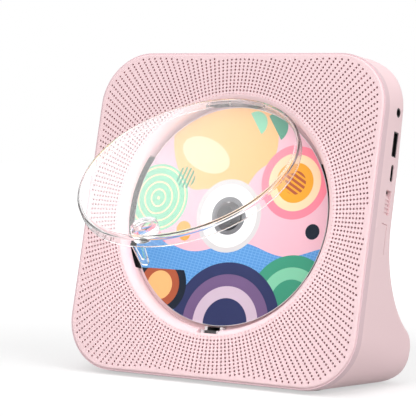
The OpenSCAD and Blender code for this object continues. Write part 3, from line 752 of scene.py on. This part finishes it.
apply_modifier(plate, "SOLIDIFY", thickness=plate_t, offset=-1, use_even_offset=True)
print("lip rolled in", lip_steps, "steps,", len(plate.data.polygons), "faces")

# %% [markdown]
# A moulded edge is never a knife edge. The plate's front rim gets a small bevel, which catches
# the light as the pale line seen along the right side of the real one. Its screw posts stand
# behind it: each is a rod, welded on and then bored.

# %% Rim
rim_round, rim_segments = 1.0, 5


def edge_gap(x, y):
    """How far a point of the face lies outside the plate's outline, and below zero inside it."""
    over_x = abs(x) - (face_w / 2 - face_corner)
    over_y = abs(y) - (face_h / 2 - face_corner)
    outside = math.hypot(max(over_x, 0), max(over_y, 0))
    return outside + min(max(over_x, over_y), 0) - face_corner


def on_rim(edge):
    ends = [vert.co for vert in edge.verts]
    return all(abs(end.z) < 0.01 and edge_gap(end.x, end.y) > -0.05 for end in ends)


with editing(plate, "EDGE"):
    found = choose("edges", on_rim)
    bpy.ops.mesh.bevel(offset=rim_round, segments=rim_segments, affect="EDGES")
print(found, "rim edges rounded")

# %% Screw posts
case_post_r, case_bore_r, tray_post_r, tray_bore_r, tray_post_out = 3.6, 1.45, 3, 1, 73
case_posts = [(-74, 75), (74, 75), (-80, -8), (80, -8)]
tray_turns = [math.radians(turn) for turn in (20, 160, 200, 340)]
tray_posts = [(tray_post_out * math.cos(a), tray_post_out * math.sin(a)) for a in tray_turns]


def rod(radius, low, high, at=(0, 0), vertices=48, name="rod"):
    """A round rod along z."""
    where = (at[0], at[1], (low + high) / 2)
    bpy.ops.mesh.primitive_cylinder_add(
        vertices=vertices, radius=radius, depth=high - low, location=where
    )
    return applied(made(name))


carve(plate, *[rod(case_post_r, -14, -1.5, at) for at in case_posts], operation="UNION")
carve(plate, *[rod(tray_post_r, -4.4, -1.5, at) for at in tray_posts], operation="UNION")
case_bores = [rod(case_bore_r, -15, -6, at, 24) for at in case_posts]
tray_bores = [rod(tray_bore_r, -5, -1.6, at, 24) for at in tray_posts]
carve(plate, *case_bores, *tray_bores)
print(len(case_posts + tray_posts), "posts")

# %% [markdown]
# Four openings break the lip: the dark slot above, where the lid's hinge passes, the notch of the
# latch below, and a window on each side for a fingertip behind the disc. Each is cut with a solid
# of its own. The slot's tool is spun about the well's axis, so that the slot follows the round
# mouth, which a box couldn't do.

# %% Spun solids


def bare(points, edges, faces, name):
    """A piece from points alone, to be shaped by operators."""
    mesh = bpy.data.meshes.new(name)
    mesh.from_pydata([Vector(point) for point in points], edges, faces)
    piece = bpy.data.objects.new(name, mesh)
    bpy.context.scene.collection.objects.link(piece)
    only(piece)
    return piece


def outline(points, name):
    """A flat face from a closed outline."""
    return bare(points, [], [range(len(points))], name)


def turned(section, name, steps, angle=360, start=0):
    """A section of radius and height, spun about z into a round solid."""
    turn = Matrix.Rotation(math.radians(start), 3, "Z")
    points = [turn @ Vector((radius, 0, height)) for radius, height in section]
    if angle == 360:
        ring = [(i, (i + 1) % len(points)) for i in range(len(points))]
        piece = bare(points, ring, [], name)
    else:
        piece = outline(points, name)
    with editing(piece):
        bpy.ops.mesh.select_all(action="SELECT")
        bpy.ops.mesh.spin(
            steps=steps, angle=-math.radians(angle), center=(0, 0, 0), axis=(0, 0, 1)
        )
        bpy.ops.mesh.select_all(action="SELECT")
        bpy.ops.mesh.remove_doubles(threshold=0.0005)
        bpy.ops.mesh.dissolve_degenerate(threshold=0.0001)
        bpy.ops.mesh.select_all(action="SELECT")
        bpy.ops.mesh.normals_make_consistent(inside=False)
    return piece


print("sections can be spun")

# %% Slot, notch and finger windows
slot_section = [(68.2, -8.4), (55, -8.4), (55, 1.9), (68.2, -3.9)]
window_section = [(61, -6), (61, -12), (66.8, -12), (66.8, -6)]
slot_half, window_half = 16.4, 30
window_v = round(well_r * math.sin(math.radians(window_half)), 1)


def brick(low, high, name="brick"):
    """A box from its low corner to its high corner."""
    low, high = Vector(low), Vector(high)
    bpy.ops.mesh.primitive_cube_add(size=1, location=(low + high) / 2)
    piece = made(name)
    piece.scale = high - low
    return applied(piece)


hinge_slot = turned(slot_section, "slot", 24, 2 * slot_half, 90 - slot_half)
windows = [
    turned(window_section, "window", 30, 2 * window_half, side - window_half)
    for side in (0, 180)
]
notch = brick((-6.7, -64.9, -12), (6.7, -60, 1))
carve(plate, hinge_slot, notch, *windows)
print("lip opened in four places")

# %% [markdown]
# ## Some 2,900 holes
# The holes of the real plate lie on 200 rays from the well's middle, in rows that keep their
# pitch, so they spread apart towards the corners. One small rod is repeated along a ray by one
# Array and round the middle by another. Those outside the margin go, and a single cut makes all
# the holes. A pattern in the material would be lighter, but would show no depth at an angle.

# %% The drill
ray_count, row_count, row_pitch, first_row = 200, 23, 1.925, 68.7
hole_r, hole_sides, hole_margin = 0.63, 10, 2.5
ray_step = math.tau / ray_count


def turned_to(piece, turn=(0, 0, 0), at=(0, 0, 0)):
    """Turn a piece about x, y and z in degrees, then move it."""
    piece.rotation_euler = [math.radians(angle) for angle in turn]
    piece.location = at
    return applied(piece)


def round_the_middle(tool):
    """Repeat a tool on every ray, starting half a step off the level."""
    turned_to(tool, (0, 0, math.degrees(ray_step / 2)))
    bpy.ops.object.empty_add(rotation=(0, 0, ray_step))
    step_mark = made("step_mark")
    copies = {"use_object_offset": True, "offset_object": step_mark, "count": ray_count}
    apply_modifier(tool, "ARRAY", use_relative_offset=False, **copies)
    bpy.data.objects.remove(step_mark)


drill = rod(hole_r, -plate_t - 1, 1, (first_row, 0), hole_sides, "drill")
along_ray = {"use_constant_offset": True, "constant_offset_displace": (row_pitch, 0, 0)}
apply_modifier(drill, "ARRAY", use_relative_offset=False, count=row_count, **along_ray)
round_the_middle(drill)
with editing(drill, "VERT"):
    choose("verts", lambda vert: edge_gap(vert.co.x, vert.co.y) > hole_r - hole_margin)
    bpy.ops.mesh.select_linked()
    bpy.ops.mesh.delete(type="VERT")
print(len(drill.data.vertices) // (2 * hole_sides), "holes")

# %% The cut
dimple_r, dimple_deep, dimple_row = 0.42, 0.45, 66.85
dimple = rod(dimple_r, -dimple_deep, 1, (dimple_row, 0), 8, "dimple")
round_the_middle(dimple)
carve(plate, drill, dimple)
smooth(plate, 40)
settle(plate, "perforated_front", "case", "case_pink", replaces=["front_grille"])

# %% [markdown]
# ## The clear lid
# A shallow acrylic dish: its top is flat, its edge turns down in a soft round, and its wall is
# 1.6 mm thick. Spun from one section, it stays truly round and its wall refracts the light along
# the rim, which a single sheet without thickness couldn't do.

# %% Lid dish
cover_v, cover_r, cover_t, cover_round, cover_rim, lip_round = -1, 60.7, 1.6, 2.4, 6.6, 0.3
bend = (cover_r - cover_round, -cover_round)
rim_out = (cover_r - lip_round, lip_round - cover_rim)
rim_in = (cover_r - cover_t + lip_round, lip_round - cover_rim)


def arc(centre, radius, start, end, steps):
    """Points of an arc in degrees."""
    turns = [math.radians(start + (end - start) * step / steps) for step in range(steps + 1)]
    return [(centre[0] + radius * math.cos(a), centre[1] + radius * math.sin(a)) for a in turns]


dish_section = [
    (0, -cover_t),
    (0, 0),
    *arc(bend, cover_round, 90, 0, 12),
    *arc(rim_out, lip_round, 0, -90, 3),
    *arc(rim_in, lip_round, -90, -180, 3),
    *arc(bend, cover_round - cover_t, 0, 90, 8),
]
lid = turned_to(turned(dish_section, "lid", 240), at=(0, cover_v, 0))
print("dish", len(lid.data.polygons), "faces")

# %% [markdown]
# The hinge side carries a lug with a barrel for the pin. The other side has a thumb knob, dished
# by a ball, and below it the barbed prong that snaps into the latch. All are welded to the dish,
# as one moulding has no seams between its parts.

# %% Lug, knob and prong
hinge_v, hinge_n, hinge_half, barrel_r = 66, -4.4, 18, 1.9
knob_v, knob_r, knob_end, knob_edge = -51.5, 7.3, -6.2, 0.6
lug_section = [(65.3, -6), (60.4, -6.6), (57, -6.6), (57, -4.7), (61.2, -4.7), (65.2, -3.4)]
prong_v, prong_t, prong_gap_v = -60.5, 1.4, -60
prong_right = [(3.5, -6.2), (2.57, -15.9), (2.55, -16.4), (1.5, -18)]
prong_left = [(-across, depth) for across, depth in reversed(prong_right)]
prong_gap = [(2.3, -6), (1, -14.6), (-1, -14.6), (-2.3, -6)]


def drawn_out(points, direction, name="bar"):
    """A flat outline drawn out into a solid along a direction."""
    piece = outline(points, name)
    with editing(piece):
        bpy.ops.mesh.select_all(action="SELECT")
        bpy.ops.mesh.extrude_region_move(TRANSFORM_OT_translate={"value": Vector(direction)})
        bpy.ops.mesh.select_all(action="SELECT")
        bpy.ops.mesh.normals_make_consistent(inside=False)
    return piece


lug = drawn_out([(-hinge_half, v, n) for v, n in lug_section], (2 * hinge_half, 0, 0), "lug")
inside = turned_to(rod(cover_r - cover_t / 2, -20, 10, vertices=240), at=(0, cover_v, 0))
carve(lug, inside)
barrel = turned_to(rod(barrel_r, -hinge_half, hinge_half), (0, 90, 0), (0, hinge_v, hinge_n))
knob = rod(knob_r, knob_end, -cover_t / 2, (0, knob_v), 96, "knob")
with editing(knob, "EDGE"):
    choose("edges", lambda edge: all(abs(v.co.z - knob_end) < 0.01 for v in edge.verts))
    bpy.ops.mesh.bevel(offset=knob_edge, segments=4, affect="EDGES")
prong_points = [(u, prong_v, n) for u, n in prong_right + prong_left]
prong = drawn_out(prong_points, (0, -prong_t, 0), "prong")
carve(prong, drawn_out([(u, prong_gap_v, n) for u, n in prong_gap], (0, -3, 0)))
carve(lid, lug, barrel, knob, prong, operation="UNION")
print("lug, barrel, knob and prong welded on")

# %% Thumb dish, pin bore and spring groove
thumb_r, thumb_n, pin_bore_r = 12, 10.6, 1.05
ball = {"segments": 96, "ring_count": 96, "radius": thumb_r}
bpy.ops.mesh.primitive_uv_sphere_add(location=(0, knob_v, thumb_n), **ball)
thumb = turned_to(made("thumb"), at=(0, knob_v, thumb_n))
pin_bore = turned_to(rod(pin_bore_r, -30, 30), (0, 90, 0), (0, hinge_v, hinge_n))
spring_gap = brick((-6, 63.4, -10), (6, 70, 0))
spring_groove = brick((-5.5, 61.5, -7), (-4.5, 64, -5.7))
carve(lid, thumb, pin_bore, spring_gap, spring_groove)
print("lid", len(lid.data.polygons), "faces")

# %% [markdown]
# The photograph shows the lid 41 degrees open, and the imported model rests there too. The lid was
# modelled closed, which is simpler, and is now turned about its pin.

# %% Open the lid
cover_open = math.radians(41)
pin_at = Matrix.Translation((0, hinge_v, hinge_n))
lid.matrix_world = pin_at @ Matrix.Rotation(-cover_open, 4, "X") @ pin_at.inverted()
smooth(applied(lid), 30)
settle(lid, "clear_lid", "cover", "clear_plastic", replaces=["dust_cover"])

# %% [markdown]
# ## The disc
# A disc is 120 mm across with a 15 mm hole, 1.2 mm thick, with slightly broken edges. A flat
# cylinder would have a knife edge there, so the disc is spun from a section that has them.

# %% Disc body
disc_r, disc_t, disc_hole, edge_break = 60, 1.2, 7.5, 0.12
disc_back = disc_face + disc_t
disc_section = [
    (disc_hole, -disc_back + edge_break),
    (disc_hole + edge_break, -disc_back),
    (disc_r - edge_break, -disc_back),
    (disc_r, -disc_back + edge_break),
    (disc_r, -disc_face - edge_break),
    (disc_r - edge_break, -disc_face),
    (disc_hole + edge_break, -disc_face),
    (disc_hole, -disc_face - edge_break),
]
disc = turned(disc_section, "disc", 240)
smooth(disc, 30)
print("disc", len(disc.data.polygons), "faces")

# %% [markdown]
# The disc's picture is drawn in the shader from flat shapes in millimetres on the face: hills,
# arches, a sun, striped rings and dots. Each shape is a mask of 0 and 1 that lays one colour over
# what is below. The shapes stay sharp at any distance, as screen printing does.

# %% Drawing tools
print_finish = Finish("printed_disc", Specular_IOR_Level=0.15)
u, v, n = print_finish.axes(print_finish.place())


def raised(value, power):
    return print_finish.maths("POWER", value, power)


def wave(value):
    return print_finish.maths("SINE", value)


def along(turn, at=(0, 0)):
    """Distance across a line through a point, for stripes and straight edges."""
    turn = math.radians(turn)
    return (u - at[0]) * math.cos(turn) + (v - at[1]) * math.sin(turn)


def from_point(at, squash=1.0, turn=0):
    """Distance from a point, squashed into an ellipse if asked."""
    return raised(raised(along(turn, at), 2) + raised(along(turn + 90, at) * squash, 2), 0.5)


def both(*masks):
    product = masks[0]
    for mask in masks[1:]:
        product = product * mask
    return product


def dot(at, reach, *masks):
    """A round shape, cut by other masks if asked."""
    return both(from_point(at) < reach, *masks)


def rings(at, bands, *masks):
    """Round shapes about one point, the widest first."""
    return [(dot(at, reach, *masks), band_colour) for reach, band_colour in bands]


print("shapes can be drawn")

# %% Disc picture
sky_pink, peach, cream = paint(233, 183, 195), paint(242, 184, 120), paint(245, 210, 170)
sea, foam = paint(84, 144, 205), paint(110, 166, 218)
deep, plum, lilac = paint(44, 52, 92), paint(112, 88, 128), paint(205, 184, 200)
mint, pine, mustard = paint(128, 200, 164), paint(60, 148, 118), paint(232, 160, 48)
clay, coral, ink = paint(170, 86, 56), paint(244, 132, 150), paint(16, 30, 42)

sun, wheel, hill, arch, moon = (38, 20), (-46, 8), (44, -44), (6, -58), (-38, -40)
hatch = (along(80) % 1.5 < 0.35) + (along(-12) % 2.3 < 0.4)
shore = v < -17 + 3.2 * wave(u * 0.11 + 0.6)
moon_top = along(90, moon) < 9

picture = [
    (from_point((-8, 42)) < 31 + 2.4 * wave(along(20) * 0.22), peach),
    (from_point((-19, 33), 0.55, 68) < 9, cream),
    *rings(sun, [(20, coral), (15.5, cream), (11, mustard)]),
    (dot(sun, 6.5, along(60, sun) % 2.6 < 1.5), clay),
    (dot(wheel, 19), mint),
    (dot(wheel, 19, (from_point(wheel) % 4.2) < 0.9), cream),
    (dot((-52, -22), 15), coral),
    (shore, sea),
    (both(shore, hatch > 0.5), foam),
    *rings(hill, [(25, pine), (18.5, mint), (12, pine)]),
    *rings(arch, [(33, deep), (26.5, plum), (20, lilac), (13.5, deep)]),
    *rings(moon, [(17, ink), (12.5, clay), (8, peach)], moon_top),
    (dot((22, 49), 8, along(35, (22, 49)) > 0), pine),
    (dot((10, 51), 7, along(35, (10, 51)) > 0), mint),
    (dot((52, -6), 4.2), ink),
    (dot((-27, -9), 4.6), mustard),
    (dot((-30, 20), 6, along(-20, (-30, 20)) % 2.4 < 1.2), pine),
]
colour = sky_pink
for mask, shape_colour in picture:
    colour = print_finish.mix(mask, colour, shape_colour)
print(len(picture), "flat shapes on the disc")

# %% [markdown]
# A fine grain in the print, a bare hub and a pale rim finish the face. The print stops short of
# the hole, where the disc is clamped, and the underside is the bare mirror that the lens reads.

# %% Grain, hub and underside
grain_share, printed_roughness, mirror_roughness, mirror_metallic = 0.05, 0.45, 0.09, 0.9
grain = print_finish.noise(print_finish.place(), 1.6, detail=2.0)
colour = print_finish.mix(grain * grain_share, colour, plum)

# Inside the print: pale ring, bare white band, grey clamping ring. Outside it: the pale rim.
radius = from_point((0, 0))
hub_rings = [
    (radius < 19.9, paint(206, 202, 202)),
    (radius < 17.1, paint(247, 247, 248)),
    (radius < 10.2, paint(122, 122, 125)),
    (radius > 59.7, paint(212, 208, 210)),
]
for mask, ring_colour in hub_rings:
    colour = print_finish.mix(mask, colour, ring_colour)
underside = n < -(disc_face + disc_t / 2)
gloss = printed_roughness - mirror_roughness
print_finish.feed("Base Color", print_finish.mix(underside, colour, paint(196, 200, 206)))
print_finish.feed("Metallic", underside * mirror_metallic)
print_finish.feed("Roughness", printed_roughness - underside * gloss)
finishes["disc_print"] = print_finish
settle(disc, "printed_disc", "spindle", "disc_print", replaces=["compact_disc"])

# %% [markdown]
# ## The rear shell
# Sides, top, back and foot are one moulding. Cut level by level, each slice is a rectangle with
# two rounded rear corners: its width follows the case's round corners and its depth the hollow
# back. Low down, the corners are tighter at the foot's rear than at the front, so there a slice
# widens towards the back. The slices are laid as loops and bridged into a skin, once for the
# outside and once, smaller, for the inside. A bevelled box couldn't follow the hollow back.

# %% Side profile
body_w, body_slope_h, body_corner = 177.6, 179.6, 29.6
pad_t, wall, slab_depth, band_depth = 1.5, 2.2, 32.3, 6.2
sweep_r, sweep_top_z, toe_r, heel_r, foot_rear, heel_y = 56, 88, 11, 8, 40, 29
body_h = body_slope_h * math.cos(tilt)
body_middle_z = pad_t + body_h / 2
top_out = pad_t + body_h
face_y, face_z = (c / MM for c in face_middle.yz)
back_y = face_y + slab_depth / math.cos(tilt)
sweep_top = Vector((back_y + (sweep_top_z - face_z) * math.tan(tilt), sweep_top_z))
sweep_at = sweep_top + sweep_r * Vector((math.cos(tilt), -math.sin(tilt)))
toe_at = Vector((foot_rear - toe_r, 0))
toe_at.y = sweep_at.y - math.sqrt((sweep_r + toe_r) ** 2 - (sweep_at.x - toe_at.x) ** 2)
touch = sweep_at + (toe_at - sweep_at).normalized() * sweep_r


def rear_at(z, inset):
    """Where the back wall stands at a height, drawn in by an inset."""
    if z > sweep_top.y:
        return back_y - inset / math.cos(tilt) + (z - face_z) * math.tan(tilt)
    if z > touch.y:
        return sweep_at.x - math.sqrt((sweep_r + inset) ** 2 - (z - sweep_at.y) ** 2)
    if z > toe_at.y:
        return toe_at.x + math.sqrt(max((toe_r - inset) ** 2 - (z - toe_at.y) ** 2, 0))
    heel = heel_r - inset
    low = pad_t + heel_r
    if z < low:
        return heel_y + math.sqrt(max(heel**2 - (z - low) ** 2, 0))
    share = (z - low) / (toe_at.y - low)
    return (heel_y + heel) * (1 - share) + (foot_rear - inset) * share


print("hollow back touches the foot at", tuple(round(c, 1) for c in touch))

# %% Width and depth of a slice
foot_corner, mouth_y = 15, -95


def band_at(z):
    """Where the shell meets the front band at a height."""
    return face_y + band_depth / math.cos(tilt) + (z - face_z) * math.tan(tilt)


def half_width_at(z, inset, share):
    """Half the case's width at a height, from the front band (share 0) to the rear (1)."""
    low = z < body_middle_z
    round_r = body_corner + (foot_corner - body_corner) * share * low
    over = abs(z - body_middle_z) - (body_h / 2 - round_r)
    if over <= 0:
        return body_w / 2 - inset
    return body_w / 2 - round_r + math.sqrt(max((round_r - inset) ** 2 - over**2, 0))


def eased(low, high, steps):
    """Heights from low to high, close together at both ends."""
    shares = [(1 - math.cos(math.pi * step / steps)) / 2 for step in range(steps + 1)]
    return [low + (high - low) * share for share in shares]


print("front band from", round(band_at(pad_t), 1), "to", round(band_at(top_out), 1), "mm")

# %% Skin of slices
top_swell, swell_from, swell_over = 2.5, 110, 40
side_shares = [step / 5 for step in range(6)]
quarter = [math.pi / 2 * step / 10 for step in range(11)]


def levels_for(inset, corner):
    """The heights of all slices, close together where the shape bends."""
    bottom, top = pad_t + inset, top_out - inset
    heel_top = pad_t + heel_r
    low_corner, high_corner = pad_t + body_corner, top_out - body_corner
    spans = [
        (bottom, heel_top, 8),
        (heel_top, low_corner, 16),
        (low_corner, sweep_top_z, 20),
        (sweep_top_z, high_corner, 4),
        (high_corner, top - corner, 12),
        (top - corner, top, 12),
    ]
    return sorted({round(z, 3) for span in spans for z in eased(*span)})


def slice_at(z, inset, corner):
    """One closed loop round the shell, with the rear edges rounder near the top."""
    edge_r = corner + top_swell * min(max((z - swell_from) / swell_over, 0), 1)
    sunk = max(z - (top_out - inset - edge_r), 0)
    rear = rear_at(z, inset) - edge_r + math.sqrt(max(edge_r**2 - sunk**2, 0)) - edge_r
    side = [
        (half_width_at(z, inset, share), band_at(z) * (1 - share) + rear * share)
        for share in side_shares
    ]
    half = side[-1][0] - edge_r
    side += [(half + edge_r * math.cos(a), rear + edge_r * math.sin(a)) for a in quarter[1:]]
    side.insert(0, (side[0][0], mouth_y))
    return [(x, y, z) for x, y in side + [(-x, y) for x, y in reversed(side)]]


def shell_skin(inset, corner, name):
    """A closed solid from bridged slices."""
    levels = levels_for(inset, corner)
    loops = [slice_at(z, inset, corner) for z in levels]
    around = len(loops[0])
    edges = [
        (first + i, first + (i + 1) % around)
        for first in range(0, around * len(loops), around)
        for i in range(around)
    ]
    skin = bare([point for loop in loops for point in loop], edges, [], name)
    with editing(skin, "EDGE"):
        bpy.ops.mesh.select_all(action="SELECT")
        bpy.ops.mesh.bridge_edge_loops()
        for end in (levels[0], levels[-1]):
            bpy.ops.mesh.select_all(action="DESELECT")
            choose("edges", lambda edge: all(abs(v.co.z - end) < 1e-4 for v in edge.verts))
            bpy.ops.mesh.edge_face_add()
        bpy.ops.mesh.select_all(action="SELECT")
        bpy.ops.mesh.normals_make_consistent(inside=False)
    print(name, len(levels), "slices of", around, "points")
    return skin


shell = shell_skin(0, 10, "shell")
hollow = shell_skin(wall, 8, "hollow")
carve(shell, hollow)

# %% [markdown]
# The shell is made in the room's own axes. What follows is cut square to the leaning face, so a
# tool is made in the face frame and then turned into the room's axes before it cuts. The mouth
# comes first: all that lies in front of the frame band goes. The ports follow on the right side,
# the keyholes and screw sleeves in the back, and the five round button holes in the top.

# %% Leaning tools and port tools
face_in_room = Matrix.Translation((0, face_y, face_z)) @ Matrix.Rotation(face_turn, 4, "X")
port_reach, port_start_x = 20, 80


def leaning(tool):
    """A tool made in the face frame, stood into the room's axes."""
    tool.matrix_world = face_in_room
    return applied(tool)


def into_side(tool, at):
    """Lay a tool into the right wall, at a height up the face and a depth behind it."""
    return turned_to(tool, (0, 90, 0), (port_start_x, at[0], -at[1]))


def side_slot(at, half_v, half_n, round_r, name):
    """A rounded opening through the right wall."""
    tool = rounded_plane(2 * half_n, 2 * half_v, round_r, 8, name)
    with editing(tool, "VERT"):
        bpy.ops.mesh.select_all(action="SELECT")
        bpy.ops.mesh.extrude_region_move(
            TRANSFORM_OT_translate={"value": (0, 0, port_reach)}
        )
        bpy.ops.mesh.select_all(action="SELECT")
        bpy.ops.mesh.remove_doubles(threshold=0.001)
        bpy.ops.mesh.normals_make_consistent(inside=False)
    return into_side(tool, at)


print("openings can be cut square to the face")

# %% Mouth, mark, ports and keyholes
jack_at, usb_a_at, usb_c_at = (61.5, 17.6), (44.4, 18), (28.9, 18.2)
led_at, switch_at = (22.8, 18.4), (13.1, 17)
keyhole_u, keyhole_v, hang_v, head_r, shank_r = 52, 66, 76, 4.5, 2.3
keyhole_back, keyhole_front = -40, -26
ports = [
    into_side(rod(2.6, 0, port_reach), jack_at),
    side_slot(usb_a_at, 6.8, 3, 0.5, "usb_a"),
    side_slot(usb_c_at, 4.65, 1.75, 1.7, "usb_c"),
    into_side(rod(0.8, 0, port_reach, vertices=24), led_at),
    side_slot(switch_at, 6.5, 3, 0.4, "switch"),
]
hangers = []
for side in (-keyhole_u, keyhole_u):
    hangers += [
        rod(head_r, keyhole_back, keyhole_front, (side, keyhole_v)),
        rod(shank_r, keyhole_back, keyhole_front, (side, hang_v)),
        brick(
            (side - shank_r, keyhole_v, keyhole_back),
            (side + shank_r, hang_v, keyhole_front),
        ),
    ]
mark_v, mark_drop, mark_w, mark_deep, mark_back, mark_front = 1.2, 15.5, 0.5, 0.8, -19.6, -13.2
side_x = body_w / 2
mark_low, mark_out = side_x - mark_deep, side_x + 1
mark = brick((mark_low, mark_v, mark_back), (mark_out, mark_v + mark_w, mark_front), "mark")
stroke_top = (mark_out, mark_v + 0.1, mark_back + mark_w)
stroke = brick((mark_low, mark_v - mark_drop, mark_back), stroke_top)
carve(mark, stroke, operation="UNION")
mouth = brick((-120, -150, -band_depth), (120, 150, 200), "mouth")
carve(shell, *[leaning(tool) for tool in [mouth, mark, *ports, *hangers]])
print(len(ports), "ports,", len(hangers) // 3, "keyholes")

# %% Screw sleeves and button holes
sleeve_r, head_bore_r, screw_bore_r = 4.2, 3, 1.7
button_y, button_pitch, button_r, button_gap = 18, 18, 4.5, 0.15
carve(shell, *[leaning(rod(sleeve_r, -29.4, -14, at)) for at in case_posts], operation="UNION")
head_bores = [leaning(rod(head_bore_r, -60, -20, at)) for at in case_posts]
screw_bores = [leaning(rod(screw_bore_r, -30, -13, at)) for at in case_posts]
carve(shell, *head_bores, *screw_bores)
button_spots = [(step * button_pitch, button_y) for step in range(-2, 3)]
hole_low, hole_high = top_out - wall - 1, top_out + 5
carve(shell, *[rod(button_r + button_gap, hole_low, hole_high, at) for at in button_spots])
smooth(shell, 30)
settle(shell, "pink_shell", "case", "case_pink", place=room_place, replaces=["rear_shell"])

# %% [markdown]
# ## Finishes for everything else
# Every other piece is right as it comes from the imported model. Each takes the finish of the slot
# that the record gives it, apart from six with a finish of their own. The tray is one of them:
# pink round the disc, with black painted shade beside the finger windows, where it lies deep in
# shade.

# %% Tray
tray = Finish("tray_two_tone", Roughness=0.45)
_, tray_v, _ = tray.axes(tray.place())
# Painted shade: black beside the finger windows, pink elsewhere.
tray.feed("Base Color", tray.mix(abs(tray_v) < window_v, pink, black))
print("tray dark beside the windows, to", window_v, "mm either side")

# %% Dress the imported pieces
slot_of = {part["node"]: part["material_slot"] for part in frame["record"]["subparts"]}
socket_painted_shade_finish = socket_throat(mouth_x=88.1)
frosted, frosted_shade = paint(214, 207, 209), paint(200, 192, 195)
special = {
    "usb_a_socket": socket_painted_shade_finish,
    "usb_c_socket": socket_painted_shade_finish,
    "switch_slider": finishes["case_pink"],
    "led_lens": finishes["button_pink"],
    "disc_tray": tray,
    "latch_housing": moulded("frosted_grey", frosted, frosted_shade, roughness=0.25),
}
for name, node in nodes.items():
    for place in node.material_slots:
        place.material = special.get(name, finishes[slot_of[name]]).material
print("dressed", len(nodes), "pieces with", len(finishes), "finishes")

# %% [markdown]
# ## Size
# The imported model's box and the dressed model's box are both printed. The dressed model
# has to keep to the imported model's size.

# %% Sizes
bpy.context.view_layer.update()
sizes = {
    "cad": [list(corner) for corner in cad_box],
    "visual": [list(corner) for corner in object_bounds()],
}
for name, box in sizes.items():
    print(name, [[round(c * 1000, 2) for c in corner] for corner in box])
